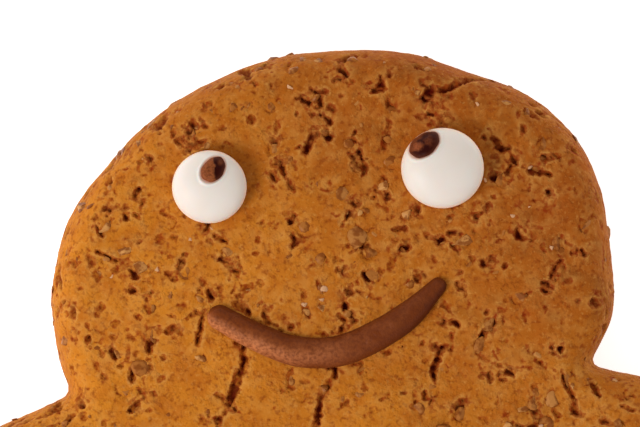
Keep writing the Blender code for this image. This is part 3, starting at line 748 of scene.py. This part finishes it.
def add(tree, kind, inputs, **settings):
    """A node of the tree with its settings, each input linked to a socket or set to a value."""
    node = tree.nodes.new("ShaderNode" + kind)
    for setting, value in settings.items():
        setattr(node, setting, value)
    for socket, value in inputs.items():
        if isinstance(value, bpy.types.NodeSocket):
            tree.links.new(value, node.inputs[socket])
        else:
            node.inputs[socket].default_value = value
    return node


def mottle(tree, size, low, high, detail=2.0, shift=(0, 0, 0)):
    """Noise in the piece's own space, its patches this many millimetres long, spread from 0 at
    its low value to 1 at its high one."""
    place = add(tree, "TexCoord", {}).outputs["Object"]
    moved = add(tree, "Mapping", {"Vector": place, "Location": shift}).outputs["Vector"]
    noise = add(tree, "TexNoise", {"Vector": moved, "Scale": 1 / (size * IN_METRES), "Detail": detail})
    spread = add(tree, "MapRange", {"Value": noise.outputs["Fac"], "From Min": low, "From Max": high})
    return spread.outputs["Result"]


def mixed(tree, share, first, second, way="MIX"):
    """The second colour over the first, by the share."""
    node = add(tree, "Mix", {}, data_type="RGBA", blend_type=way)
    for socket, value in ((node.inputs[0], share), (node.inputs[6], first), (node.inputs[7], second)):
        if isinstance(value, bpy.types.NodeSocket):
            tree.links.new(value, socket)
        else:
            socket.default_value = value
    return node.outputs[2]


def number(tree, way, first, second):
    """Two numbers added, multiplied or otherwise joined."""
    return add(tree, "Math", {0: first, 1: second}, operation=way, use_clamp=True).outputs[0]


def read(tree, name):
    """The number that the piece's points carry under this name."""
    return add(tree, "Attribute", {}, attribute_name=name).outputs["Fac"]


AMBER = (0.560, 0.187, 0.014, 1)
TOASTED = (0.25, 0.045, 0.005, 1)
RUSTY = (0.38, 0.088, 0.006, 1)
SPECK = (0.21, 0.034, 0.002, 1)
DUSKY = (0.20, 0.060, 0.010, 1)
PALE = (0.62, 0.290, 0.065, 1)
CRACK_RIM = (0.23, 0.020, 0.001, 1)
CRACK_CRUMB_AND_SHADE = (0.12, 0.006, 0.001, 1)
# The colour of the painted eye shadows on the dough, and how strong and how far out they are.
EYE_SHADOW = (0.14, 0.036, 0.004, 1)
EYE_SHADOW_SHARE, EYE_SHADOW_REACH = {"left": 0.35, "right": 0.15}, 1.35

baked, tree, shader = new_finish("baked_dough", Roughness=0.7, Specular_IOR_Level=0.05)
patches = mottle(tree, 14, 0.35, 0.68, shift=(0.02, 0.01, 0))
toast = number(tree, "ADD", number(tree, "MULTIPLY", patches, 0.30), read(tree, "toast"))
colour = mixed(tree, toast, AMBER, TOASTED)
colour = mixed(tree, number(tree, "MULTIPLY", mottle(tree, 1.8, 0.46, 0.66, 3), 0.50), colour, RUSTY)
colour = mixed(tree, number(tree, "MULTIPLY", mottle(tree, 1.1, 0.50, 0.72, 3, (0.1, 0, 0)), 0.24), colour, PALE)
dusk = number(tree, "MULTIPLY", mottle(tree, 2.6, 0.54, 0.70, 4, (0.4, 0, 0)), read(tree, "toast"))
colour = mixed(tree, number(tree, "MULTIPLY", dusk, 0.9), colour, DUSKY)
colour = mixed(tree, number(tree, "MULTIPLY", mottle(tree, 0.42, 0.53, 0.70, 2), 0.62), colour, SPECK)
colour = mixed(tree, number(tree, "MULTIPLY", mottle(tree, 0.30, 0.58, 0.72, 2, (0.3, 0, 0)), 0.3), colour, PALE)
# Painted highlight: the lifted lips beside the cracks are painted paler, as if catching the light.
colour = mixed(tree, number(tree, "MULTIPLY", read(tree, "lip"), 0.6), colour, PALE)
ragged = number(tree, "SUBTRACT", number(tree, "MULTIPLY", read(tree, "stain"), 1.6),
                mottle(tree, 0.30, 0.30, 0.75, 2, (0.5, 0, 0)))
colour = mixed(tree, number(tree, "MULTIPLY", ragged, 0.9), colour, CRACK_RIM)
# Deep in the cracks: a dark colour that is partly the crumb's own and partly painted shade.
colour = mixed(tree, read(tree, "deep"), colour, CRACK_CRUMB_AND_SHADE)
# Painted shadow of each eye on the dough beside it.
colour = mixed(tree, read(tree, "painted_eye_shadow"), colour, EYE_SHADOW)
tree.links.new(colour, shader.inputs["Base Color"])
rough = number(tree, "MULTIPLY", mottle(tree, 0.33, 0.35, 0.75, 2), mottle(tree, 1.5, 0.35, 0.65, shift=(0.2, 0, 0)))
crumb = add(tree, "Math", {0: mottle(tree, 0.7, 0, 1, 3), 1: rough}, operation="ADD")
grainy = add(tree, "Bump", {"Height": crumb.outputs[0], "Distance": 0.00012, "Strength": 0.8})
tree.links.new(grainy.outputs["Normal"], shader.inputs["Normal"])

depth, stain, lift = np.concatenate([side_marks * held, top_marks, np.zeros((len(base_skin), 3))]).T
flat = np.concatenate([side_points, top_skin, base_skin])
# How deep each point lies in a crack, for the crack colour that is partly painted shade.
mark(crust, "deep", np.clip((depth - 0.12) / 0.58, 0, 1))
mark(crust, "stain", np.clip(stain, 0, 1))
# How far each point is lifted into a lip, for the painted highlight on it.
mark(crust, "lip", np.clip(lift / LIP, 0, 1))
edge = np.clip(1 - inside(flat[:, 0], flat[:, 1]) / 8, 0, 1)
toward = np.clip((flat[:, 0] * 0.7 + (flat[:, 1] - 8) * 0.7) / 30, -0.6, 1)
under = np.clip(1 - flat[:, 2] / 2.5, 0, 1)
pale_face = np.exp(-(flat[:, 0] ** 2 + (flat[:, 1] - 9) ** 2) / 90)
toast = 0.21 + 0.62 * toward + 0.20 * np.clip(toward, 0, 1) ** 2 - 0.15 * pale_face
toast += 0.05 * edge**2 - 0.45 * edge**3 * np.clip(toward + 0.1, 0, 0.6)
mark(crust, "toast", np.clip(toast + 0.4 * under, 0, 1))
# Painted shadow: the dough beside each eye is darkened, mostly on its upper right, the side away from the lamp.
painted_eye_shadow = np.zeros(len(flat))
for side in SIDES:
    (west, south, _), (east, north, _) = np.array(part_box("eye_" + side)) / IN_METRES
    off_x = flat[:, 0] + middle_x - (west + east) / 2
    off_y = flat[:, 1] + middle_y - (south + north) / 2
    away = np.hypot(off_x, off_y)
    facing = np.clip(1.3 * (0.93 * off_x + 0.37 * off_y) / away - 0.35, 0, 1)
    beyond = np.maximum(away - (east - west + north - south) / 4, 0)
    painted_eye_shadow = np.maximum(painted_eye_shadow, EYE_SHADOW_SHARE[side] * facing * np.exp(-((beyond / EYE_SHADOW_REACH) ** 2)))
mark(crust, "painted_eye_shadow", painted_eye_shadow)
crust.data.materials.append(baked)
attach(crust, "root")
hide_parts("biscuit")

# Sugar: coarse grains mixed into the dough, which lie bare in the crust where baking opened it.
# Each is a small crystal, a ball of 42 points cut flat by random planes, and mostly sunk in.
FACETS = 7
STANDS_OUT = 0.01


def ball_points():
    """The 42 points of an icosahedron whose edges are halved once, and its 80 triangles."""
    ball = bmesh.new()
    bmesh.ops.create_icosphere(ball, subdivisions=2, radius=1)
    points = np.array([point.co for point in ball.verts])
    faces = np.array([[corner.index for corner in face.verts] for face in ball.faces])
    ball.free()
    return points, faces


def unit(vectors):
    return vectors / np.linalg.norm(vectors, axis=-1, keepdims=True)


draw = np.random.default_rng(8)
ball, ball_faces = ball_points()
count = len(grain_size)
crystals = np.repeat(ball[None], count, axis=0)
for _ in range(FACETS):
    plane = unit(draw.normal(size=(count, 3)) * (1, 1, 0.6))
    keep = draw.uniform(0.40, 0.66, count)
    over = np.maximum(np.einsum("gvk,gk->gv", crystals, plane) - keep[:, None], 0)
    crystals -= over[..., None] * plane[:, None]
squash = np.column_stack([np.ones(count), draw.uniform(0.72, 1, count), draw.uniform(0.4, 0.55, count)])
grain_half = grain_size * (1.34 + 0.24 * np.clip((grain_size - 0.35) / 0.25, 0, 1))
crystals *= (squash * grain_half[:, None])[:, None]
along = unit(np.cross(grain_out, unit(draw.normal(size=(count, 3)))))
lean = unit(grain_out + draw.normal(0, 0.30, (count, 3)))
along = unit(along - np.einsum("gk,gk->g", along, lean)[:, None] * lean)
across = np.cross(lean, along)
crystals = (crystals[..., 0:1] * along[:, None] + crystals[..., 1:2] * across[:, None]
            + crystals[..., 2:3] * lean[:, None])
stands = soft_relief(grain_place) - 0.40 * grain_half + STANDS_OUT + 0.04 * draw.normal(size=count)
crystals += (grain_place + grain_out * stands[:, None])[:, None]
crystals[..., 2] = np.maximum(crystals[..., 2], 0)
faces = ball_faces[None] + len(ball) * np.arange(count)[:, None, None]
sugar = new_piece("sugar_grains", placed(crystals.reshape(-1, 3)), faces.reshape(-1, 3).tolist(), False)
mark(sugar, "tint", np.repeat(draw.uniform(0, 1, count), len(ball)))
painted_glint = (grain_size < 0.34) & (draw.uniform(0, 1, count) < 0.4)  # small grains painted with a glint, a painted highlight
mark(sugar, "painted_glint", np.repeat(painted_glint, len(ball)))

crystal, tree, shader = new_finish("brown_sugar", Roughness=0.40, Specular_IOR_Level=0.10)
tint = number(tree, "POWER", read(tree, "tint"), 3.0)
clear = mixed(tree, tint, (0.36, 0.120, 0.020, 1), (0.56, 0.26, 0.075, 1))
cloud = number(tree, "MULTIPLY", mottle(tree, 0.65, 0.44, 0.56, 5, (0.6, 0, 0)), 0.85)
brown = mixed(tree, cloud, clear, (0.20, 0.047, 0.004, 1))
# Painted highlight: a pale peach glint on some of the small grains.
brown = mixed(tree, read(tree, "painted_glint"), brown, (0.58, 0.31, 0.16, 1))
tree.links.new(brown, shader.inputs["Base Color"])
sugar.data.materials.append(crystal)
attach(sugar, "root")

# The eyes: two drops of white icing, each piped in one squeeze from above, so it is round, widest
# a little above the crust, and smooth over the top. The foot has sunk to the crust all round.
EYE_FOOT, EYE_BULGE = 0.88, 0.25  # the foot's radius, and the widest line's height, as shares
EYE_ROUND, EYE_RISE = 180, 60
SUNK_FOOT = 0.5


def drop(box, sag):
    """A grid round and up a piped drop: a short side that leans out from the foot to the widest
    line, and a dome above it whose radius follows the cosine, and height the sine, of its turn."""
    (west, south, foot), (east, north, top) = np.array(box) / IN_METRES
    turn = np.linspace(0, math.tau, EYE_ROUND, endpoint=False)
    rise = np.linspace(0, math.pi / 2, EYE_RISE)[:-1]
    widest = foot + EYE_BULGE * (top - foot)
    share = np.concatenate([[EYE_FOOT - 0.02, EYE_FOOT, 0.95, 0.985], np.cos(rise)])
    height = np.concatenate([[foot - SUNK_FOOT, foot - 0.2, foot + 0.25 * (widest - foot),
                              foot + 0.6 * (widest - foot)],
                             widest + (top - widest) * np.sin(rise) ** sag])
    x = (west + east) / 2 + (east - west) / 2 * share[:, None] * np.cos(turn)
    y = (south + north) / 2 + (north - south) / 2 * share[:, None] * np.sin(turn)
    return np.stack([x, y, np.broadcast_to(height[:, None], x.shape)], axis=-1)


def closed_rings(name, rings, bottom, top):
    """A closed piece from rings of points, lowest first, with a fan to a point at either end."""
    levels, around = rings.shape[:2]
    here = np.arange((levels - 1) * around).reshape(levels - 1, around)
    beside = np.roll(here, -1, axis=1)
    sides = np.stack([here, beside, beside + around, here + around], axis=-1).reshape(-1, 4)
    ring = np.arange(around)
    after = np.roll(ring, -1)
    last = (levels - 1) * around
    low_fan = np.column_stack([after, ring, np.full(around, levels * around)])
    high_fan = np.column_stack([last + ring, last + after, np.full(around, levels * around + 1)])
    points = np.concatenate([rings.reshape(-1, 3), [bottom, top]]) * IN_METRES
    return new_piece(name, points, sides.tolist() + low_fan.tolist() + high_fan.tolist())


icing, tree, shader = new_finish("white_icing", Roughness=0.45, Specular_IOR_Level=0.3,
                                 Subsurface_Weight=0.35, Subsurface_Scale=0.0015)
shader.inputs["Subsurface Radius"].default_value = (1.0, 0.5, 0.3)
cream = mixed(tree, mottle(tree, 2.5, 0.35, 0.65), (0.755, 0.69, 0.64, 1), (0.74, 0.67, 0.61, 1))
# Painted light at the rim: a peach glow for light bounced off the crust and through the thin edge of the icing.
cream = mixed(tree, number(tree, "MULTIPLY", read(tree, "painted_rim_light"), 0.9), cream, (1.0, 0.74, 0.56, 1))
cream = mixed(tree, number(tree, "MULTIPLY", read(tree, "bleed"), 0.75), cream, (0.55, 0.22, 0.11, 1))
tree.links.new(cream, shader.inputs["Base Color"])
DOME_FLATNESS = 0.75  # 1 is an ellipse, and less is flatter on top
PUPIL_LONG_HALF, PUPIL_SHORT_HALF = {"left": 1.16, "right": 1.38}, {"left": 0.87, "right": 0.90}
PUPIL_LONG_WAY = {"left": 46.0, "right": 33.0}  # degrees
BLEED = 0.10  # how far the chocolate has bled into the white
RIDGE = 0.08  # how high the white stands up round the chocolate


def from_pupil(side, x, y):
    """About how far points lie outside a pupil's tilted oval: its short half width, times how
    many of the oval's radii they are past it."""
    low, high = np.array(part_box("pupil_" + side)) / IN_METRES
    off_x, off_y = x - (low[0] + high[0]) / 2, y - (low[1] + high[1]) / 2
    tilt = math.radians(PUPIL_LONG_WAY[side])
    long_way = off_x * math.cos(tilt) + off_y * math.sin(tilt)
    short_way = off_y * math.cos(tilt) - off_x * math.sin(tilt)
    radii = np.hypot(long_way / PUPIL_LONG_HALF[side], short_way / PUPIL_SHORT_HALF[side])
    return (radii - 1) * PUPIL_SHORT_HALF[side]


for side in SIDES:
    rings = drop(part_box("eye_" + side), DOME_FLATNESS)
    middle = rings[0].mean(axis=0)
    rings[..., 2] += RIDGE * np.exp(-(((from_pupil(side, rings[..., 0], rings[..., 1]) - 0.16) / 0.09) ** 2))
    crown = np.array([middle[0], middle[1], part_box("eye_" + side)[1][2] / IN_METRES])
    eye = closed_rings("icing_eye_" + side, rings, middle, crown)
    points = np.concatenate([rings.reshape(-1, 3), [middle, crown]])
    from_middle = np.hypot(*((points - middle)[:, :2] / np.ptp(rings[..., :2], axis=(0, 1)) * 2).T)
    # The painted rim light: the outermost 6 percent of each eye's width.
    mark(eye, "painted_rim_light", np.clip((from_middle - 0.94) / 0.06, 0, 1))
    outside = from_pupil(side, points[:, 0], points[:, 1])
    mark(eye, "bleed", np.exp(-((np.maximum(outside, 0) / BLEED) ** 2)))
    eye.data.materials.append(icing)
    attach(eye, "root")
    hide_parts("eye_" + side)

# The pupils: a small drop of chocolate icing set high on each eye while the white was soft. Its brown top is
# crumbly; the side away from the lamp is painted in shade, nearly black, and is lower and smoother.
PUPIL_ROUND, PUPIL_RINGS = 72, 30
PUPIL_STANDS = 0.45
PUPIL_BROWN = {"left": (0.25, 0.068, 0.020, 1), "right": (0.25, 0.062, 0.020, 1)}


def eased(values):
    """From 0 to 1, level at both ends."""
    values = np.clip(values, 0, 1)
    return values * values * (3 - 2 * values)


def shade_right_half(u, v, wander):
    """Where the left pupil is painted in shade: its right half, away from the lamp, past a ragged line, less a lighter
    streak.
    """
    streak = eased(1.3 - np.hypot((u - 0.62) / 0.26, (v - 0.55) / 0.30))
    return eased((u - 0.03 + 0.10 * v + 0.12 * wander) / 0.18) * (1 - 0.4 * streak)


def shade_but_lit_patches(u, v, wander):
    """Where the right pupil is painted in shade: all of it but a lit patch low on the left, toward the lamp,
    a painted highlight on the right that takes off 40 percent, and shreds along the upper left edge."""
    lit_patch = eased(1.5 - np.hypot((u + 0.55) / 0.46, (v + 0.08) / 0.34) + 0.3 * wander)
    highlight_patch = eased(1.4 - np.hypot((u - 0.42) / 0.38, (v - 0.26) / 0.44) + 0.3 * wander)
    shreds = eased(1.3 * (0.6 * v - 0.8 * u) - 0.35 + 0.5 * wander)
    return 1 - np.maximum(lit_patch, np.maximum(0.40 * highlight_patch, 0.6 * shreds))


for side, paint_shade in (("left", shade_right_half), ("right", shade_but_lit_patches)):
    (west, south, foot), (east, north, top) = np.array(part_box("eye_" + side)) / IN_METRES
    widest = foot + EYE_BULGE * (top - foot)
    (low_x, low_y, _), (high_x, high_y, _) = np.array(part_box("pupil_" + side)) / IN_METRES
    turn = np.linspace(0, math.tau, PUPIL_ROUND, endpoint=False)
    share = np.concatenate([[0.90, 1.0, 1.0], np.linspace(1, 0, PUPIL_RINGS)[1:-1] ** 0.7])[:, None]
    lift = np.concatenate([[-0.5, -0.25, -0.02], np.full(PUPIL_RINGS - 2, 1.0)])[:, None]
    ragged = share * (1 + 0.03 * np.sin(3 * turn + 1) + 0.02 * np.sin(7 * turn))
    u, v = ragged * np.cos(turn), ragged * np.sin(turn)
    tilt = math.radians(PUPIL_LONG_WAY[side])
    long_way, short_way = PUPIL_LONG_HALF[side] * u, PUPIL_SHORT_HALF[side] * v
    off_x = long_way * math.cos(tilt) - short_way * math.sin(tilt)
    off_y = long_way * math.sin(tilt) + short_way * math.cos(tilt)
    x, y = (low_x + high_x) / 2 + off_x, (low_y + high_y) / 2 + off_y
    across, along = (x - (west + east) / 2) / (east - west) * 2, (y - (south + north) / 2) / (north - south) * 2
    dome = widest + (top - widest) * np.clip(1 - across**2 - along**2, 0, 1) ** (DOME_FLATNESS / 2)
    spots = np.stack([x, y, np.full(x.shape, foot)], -1).reshape(-1, 3)
    wander, grain, crumb = (unevenness(spots, size, 4.4).reshape(x.shape) for size in (0.45, 0.30, 0.16))
    # Painted shade on each pupil, with its lit and highlighted patches.
    painted_pupil_shade = paint_shade(off_x, off_y, wander + 0.8 * crumb)
    rise = PUPIL_STANDS * np.sqrt(np.clip(1 - share**4, 0, 1)) * (1 - 0.30 * painted_pupil_shade)
    rough = (0.07 * grain + 0.05 * crumb) * (1 - 0.6 * painted_pupil_shade) * np.clip(4 - 4 * share, 0, 1)
    height = dome + np.where(lift > 0, rise + rough, lift)
    rings = np.stack([x, y, height], axis=-1)
    pupil = closed_rings("icing_pupil_" + side, rings, rings[0].mean(axis=0), rings[-1].mean(axis=0))
    mark(pupil, "painted_pupil_shade", np.append(painted_pupil_shade.ravel(), [1, painted_pupil_shade[-1].mean()]))
    mark(pupil, "thin", np.append(np.broadcast_to(share**6, x.shape).ravel(), [1, 0]))
    chocolate, tree, shader = new_finish("chocolate_" + side, Roughness=0.45, Specular_IOR_Level=0.05)
    speckle = number(tree, "MULTIPLY", mottle(tree, 0.16, 0.42, 0.66), 0.7)
    brown = mixed(tree, speckle, PUPIL_BROWN[side], (0.11, 0.026, 0.008, 1))
    # Painted shade: nearly black where the pupil faces away from the lamp.
    brown = mixed(tree, read(tree, "painted_pupil_shade"), brown, (0.026, 0.002, 0.001, 1))
    brown = mixed(tree, number(tree, "MULTIPLY", read(tree, "thin"), 0.35), brown, (0.25, 0.07, 0.03, 1))
    tree.links.new(brown, shader.inputs["Base Color"])
    pupil.data.materials.append(chocolate)
    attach(pupil, "root")
    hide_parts("pupil_" + side)

# The smile: one line of chocolate icing piped from left to right, thickest in the middle and
# drawn out thin at the right end, half round in section and a little grainy.
SMILE_ROUTE = (  # x, y and half the width
    (-8.75, 6.10, 1.03), (-5.95, 4.40, 1.15), (-2.80, 3.00, 1.24), (0.60, 2.75, 1.27),
    (3.85, 3.80, 1.25), (6.75, 5.45, 1.13), (9.20, 7.60, 0.70),
)
SMILE_HEIGHT = 0.56  # as a share of its width
SMILE_AROUND, SMILE_ALONG = 44, 40


def smooth_line(knots, steps):
    """Points on a smooth curve through the knots: in each span, the cubic whose slope at either
    knot is half the way between that knot's neighbours."""
    reach = np.vstack([2 * knots[0] - knots[1], knots, 2 * knots[-1] - knots[-2]])
    t = np.linspace(0, 1, steps, endpoint=False)[None, :, None]
    before, start, end, beyond = (reach[i:len(reach) - 3 + i, None] for i in range(4))
    bend = (2 * before - 5 * start + 4 * end - beyond) * t**2
    twist = (3 * start - before - 3 * end + beyond) * t**3
    spans = start + ((end - before) * t + bend + twist) / 2
    return np.vstack([spans.reshape(-1, knots.shape[1]), knots[-1]])


line = smooth_line(np.array(SMILE_ROUTE), SMILE_ALONG)
heading = unit(np.gradient(line[:, :2], axis=0))
round_end = np.linspace(0, math.pi / 2, 14)[1:-1, None]
ends = []
for spot, way in ((line[0], -heading[0]), (line[-1], heading[-1])):
    ends.append(np.column_stack([spot[:2] + spot[2] * np.sin(round_end) * way,
                                 spot[2] * np.cos(round_end)]))
line = np.vstack([ends[0][::-1], line, ends[1]])
heading = np.vstack([np.repeat(heading[:1], len(ends[0]), 0), heading, np.repeat(heading[-1:], len(ends[1]), 0)])
angle = np.linspace(0, math.tau, SMILE_AROUND, endpoint=False)
wide = line[:, 2:] * (1 + 0.03 * unevenness(np.column_stack([line[:, :2], line[:, 0]]), 2.0)[:, None])
left = np.column_stack([-heading[:, 1], heading[:, 0]])
off = wide * np.cos(angle)
over = np.sin(angle) > 0
up = np.where(over, 2 * SMILE_HEIGHT * wide * np.abs(np.sin(angle)) ** 0.9, -0.45 * np.abs(np.sin(angle)))
x = line[:, :1] + left[:, :1] * off
y = line[:, 1:2] + left[:, 1:2] * off
level = top_height(line[:, 0], line[:, 1])[:, None]
rings = np.stack([x, y, level + up], axis=-1)
grain = unevenness(rings.reshape(-1, 3), 0.5, 2.2) + 0.7 * unevenness(rings.reshape(-1, 3), 0.25, 6.1)
rings[..., 2] += 0.045 * grain.reshape(x.shape) * over
metres = placed(rings.reshape(-1, 3)).reshape(rings.shape) / IN_METRES
smile = closed_rings("icing_smile", metres, metres[0].mean(axis=0), metres[-1].mean(axis=0))
# Painted highlight and shade: a pale band, the painted highlight, runs along its lower edge on the left, the side
# toward the lamp, and crosses to its upper edge on the right, with random paler patches; the far side is painted
# darker as shade.
along = np.linspace(0, 1, len(line))[:, None]
patchy = unevenness(rings.reshape(-1, 3), 0.8, 5.1).reshape(x.shape)
band = 0.95 - 1.45 * eased(along * 1.25)  # where the band lies, from 1 at the lower edge to -1
painted_highlight_and_patches = np.exp(-(((-np.cos(angle) - band) / 0.62) ** 2)) * (1.05 - eased(along * 1.35)) + 0.14 * patchy
# Painted shade: darker on the side away from the lamp, upper on the left and lower on the right, and darker toward the
# right end.
darker = eased(-np.cos(angle) * (2.2 * along - 1.1) + 0.2 * patchy) * (0.35 + 0.65 * eased(along * 1.6))
darker = np.clip(darker + 0.34 * eased(along * 1.6 - 0.4), 0, 1)
mark(smile, "painted_highlight_and_patches", np.append(np.clip(painted_highlight_and_patches, 0, 1).ravel(), [0.5, 0.5]))
mark(smile, "darker", np.append(darker.ravel(), [0, 0]))

chocolate, tree, shader = new_finish("milk_chocolate_icing", Roughness=0.45, Specular_IOR_Level=0.08)
speckle = number(tree, "MULTIPLY", mottle(tree, 0.26, 0.40, 0.66, 4), 0.65)
# The pale brown is the painted highlight with random paler patches, and the near black after it is painted shade.
brown = mixed(tree, read(tree, "painted_highlight_and_patches"), (0.180, 0.038, 0.006, 1), (0.53, 0.175, 0.062, 1))
brown = mixed(tree, number(tree, "MULTIPLY", read(tree, "darker"), 0.85), brown, (0.060, 0.008, 0.002, 1))
brown = mixed(tree, speckle, brown, (0.115, 0.023, 0.006, 1))
tree.links.new(brown, shader.inputs["Base Color"])
fine = add(tree, "Bump", {"Height": mottle(tree, 0.15, 0, 1), "Distance": 0.00006, "Strength": 0.8})
tree.links.new(fine.outputs["Normal"], shader.inputs["Normal"])
smile.data.materials.append(chocolate)
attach(smile, "root")
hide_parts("smile")

# The table: a plain pale board, lit so evenly that the figure's shadow all but goes.
BOARD = 1.2
board = new_piece("board", [(sx * BOARD, sy * BOARD, -0.0002) for sx, sy in ((-1, -1), (1, -1), (1, 1), (-1, 1))],
                  [(0, 1, 2, 3)])
pale, tree, shader = new_finish("pale_board", Base_Color=(0.93, 0.93, 0.93, 1), Roughness=0.9,
                                Emission_Color=(1, 1, 1, 1), Emission_Strength=0.75)
board.data.materials.append(pale)

# The light: a soft lamp on the left, and white walls all round under a greyer ceiling.
WALLS, CEILING = 1.20, 0.38
world = bpy.data.worlds.new("sky")
bpy.context.scene.world = world
world.use_nodes = True
tree, sky = world.node_tree, world.node_tree.nodes["Background"]
sky.inputs["Color"].default_value = (1.0, 0.975, 0.93, 1)
height = add(tree, "SeparateXYZ", {"Vector": add(tree, "TexCoord", {}).outputs["Generated"]}).outputs["Z"]
fade = add(tree, "MapRange", {"Value": height, "To Min": WALLS, "To Max": CEILING})
tree.links.new(fade.outputs["Result"], sky.inputs["Strength"])
head_middle = Vector(placed((0.0, HEAD_MIDDLE, 8.0)))


def lamp(name, heading, height, away, size, power):
    """A square lamp that faces the head, from a heading and a height in degrees."""
    light = bpy.data.lights.new(name, "AREA")
    light.size, light.energy = size, power
    lamp_object = bpy.data.objects.new(name, light)
    flat, rise = math.radians(heading), math.radians(height)
    way = Vector((math.cos(flat) * math.cos(rise), math.sin(flat) * math.cos(rise), math.sin(rise)))
    lamp_object.location = head_middle + way * away
    lamp_object.rotation_euler = way.to_track_quat("Z", "Y").to_euler()
    bpy.context.scene.collection.objects.link(lamp_object)


lamp("key_lamp", 204, 46, 0.35, 0.11, 0.67)
bpy.context.scene.view_settings.view_transform = "Standard"

# The camera: straight above the face, from far off, turned so that the figure leans a little.
LENS, SENSOR = 1000.0, 36.0
FRAME_WIDTH = 52.46
LEAN = 3.4  # degrees
camera_data = bpy.data.cameras.new("camera")
camera_data.lens, camera_data.sensor_width = LENS, SENSOR
camera = bpy.data.objects.new("camera", camera_data)
camera.location = placed((-0.07, 14.09, 5.0 + FRAME_WIDTH * LENS / SENSOR))
camera.rotation_euler = (0, 0, math.radians(-LEAN))
bpy.context.scene.collection.objects.link(camera)
bpy.context.scene.camera = camera
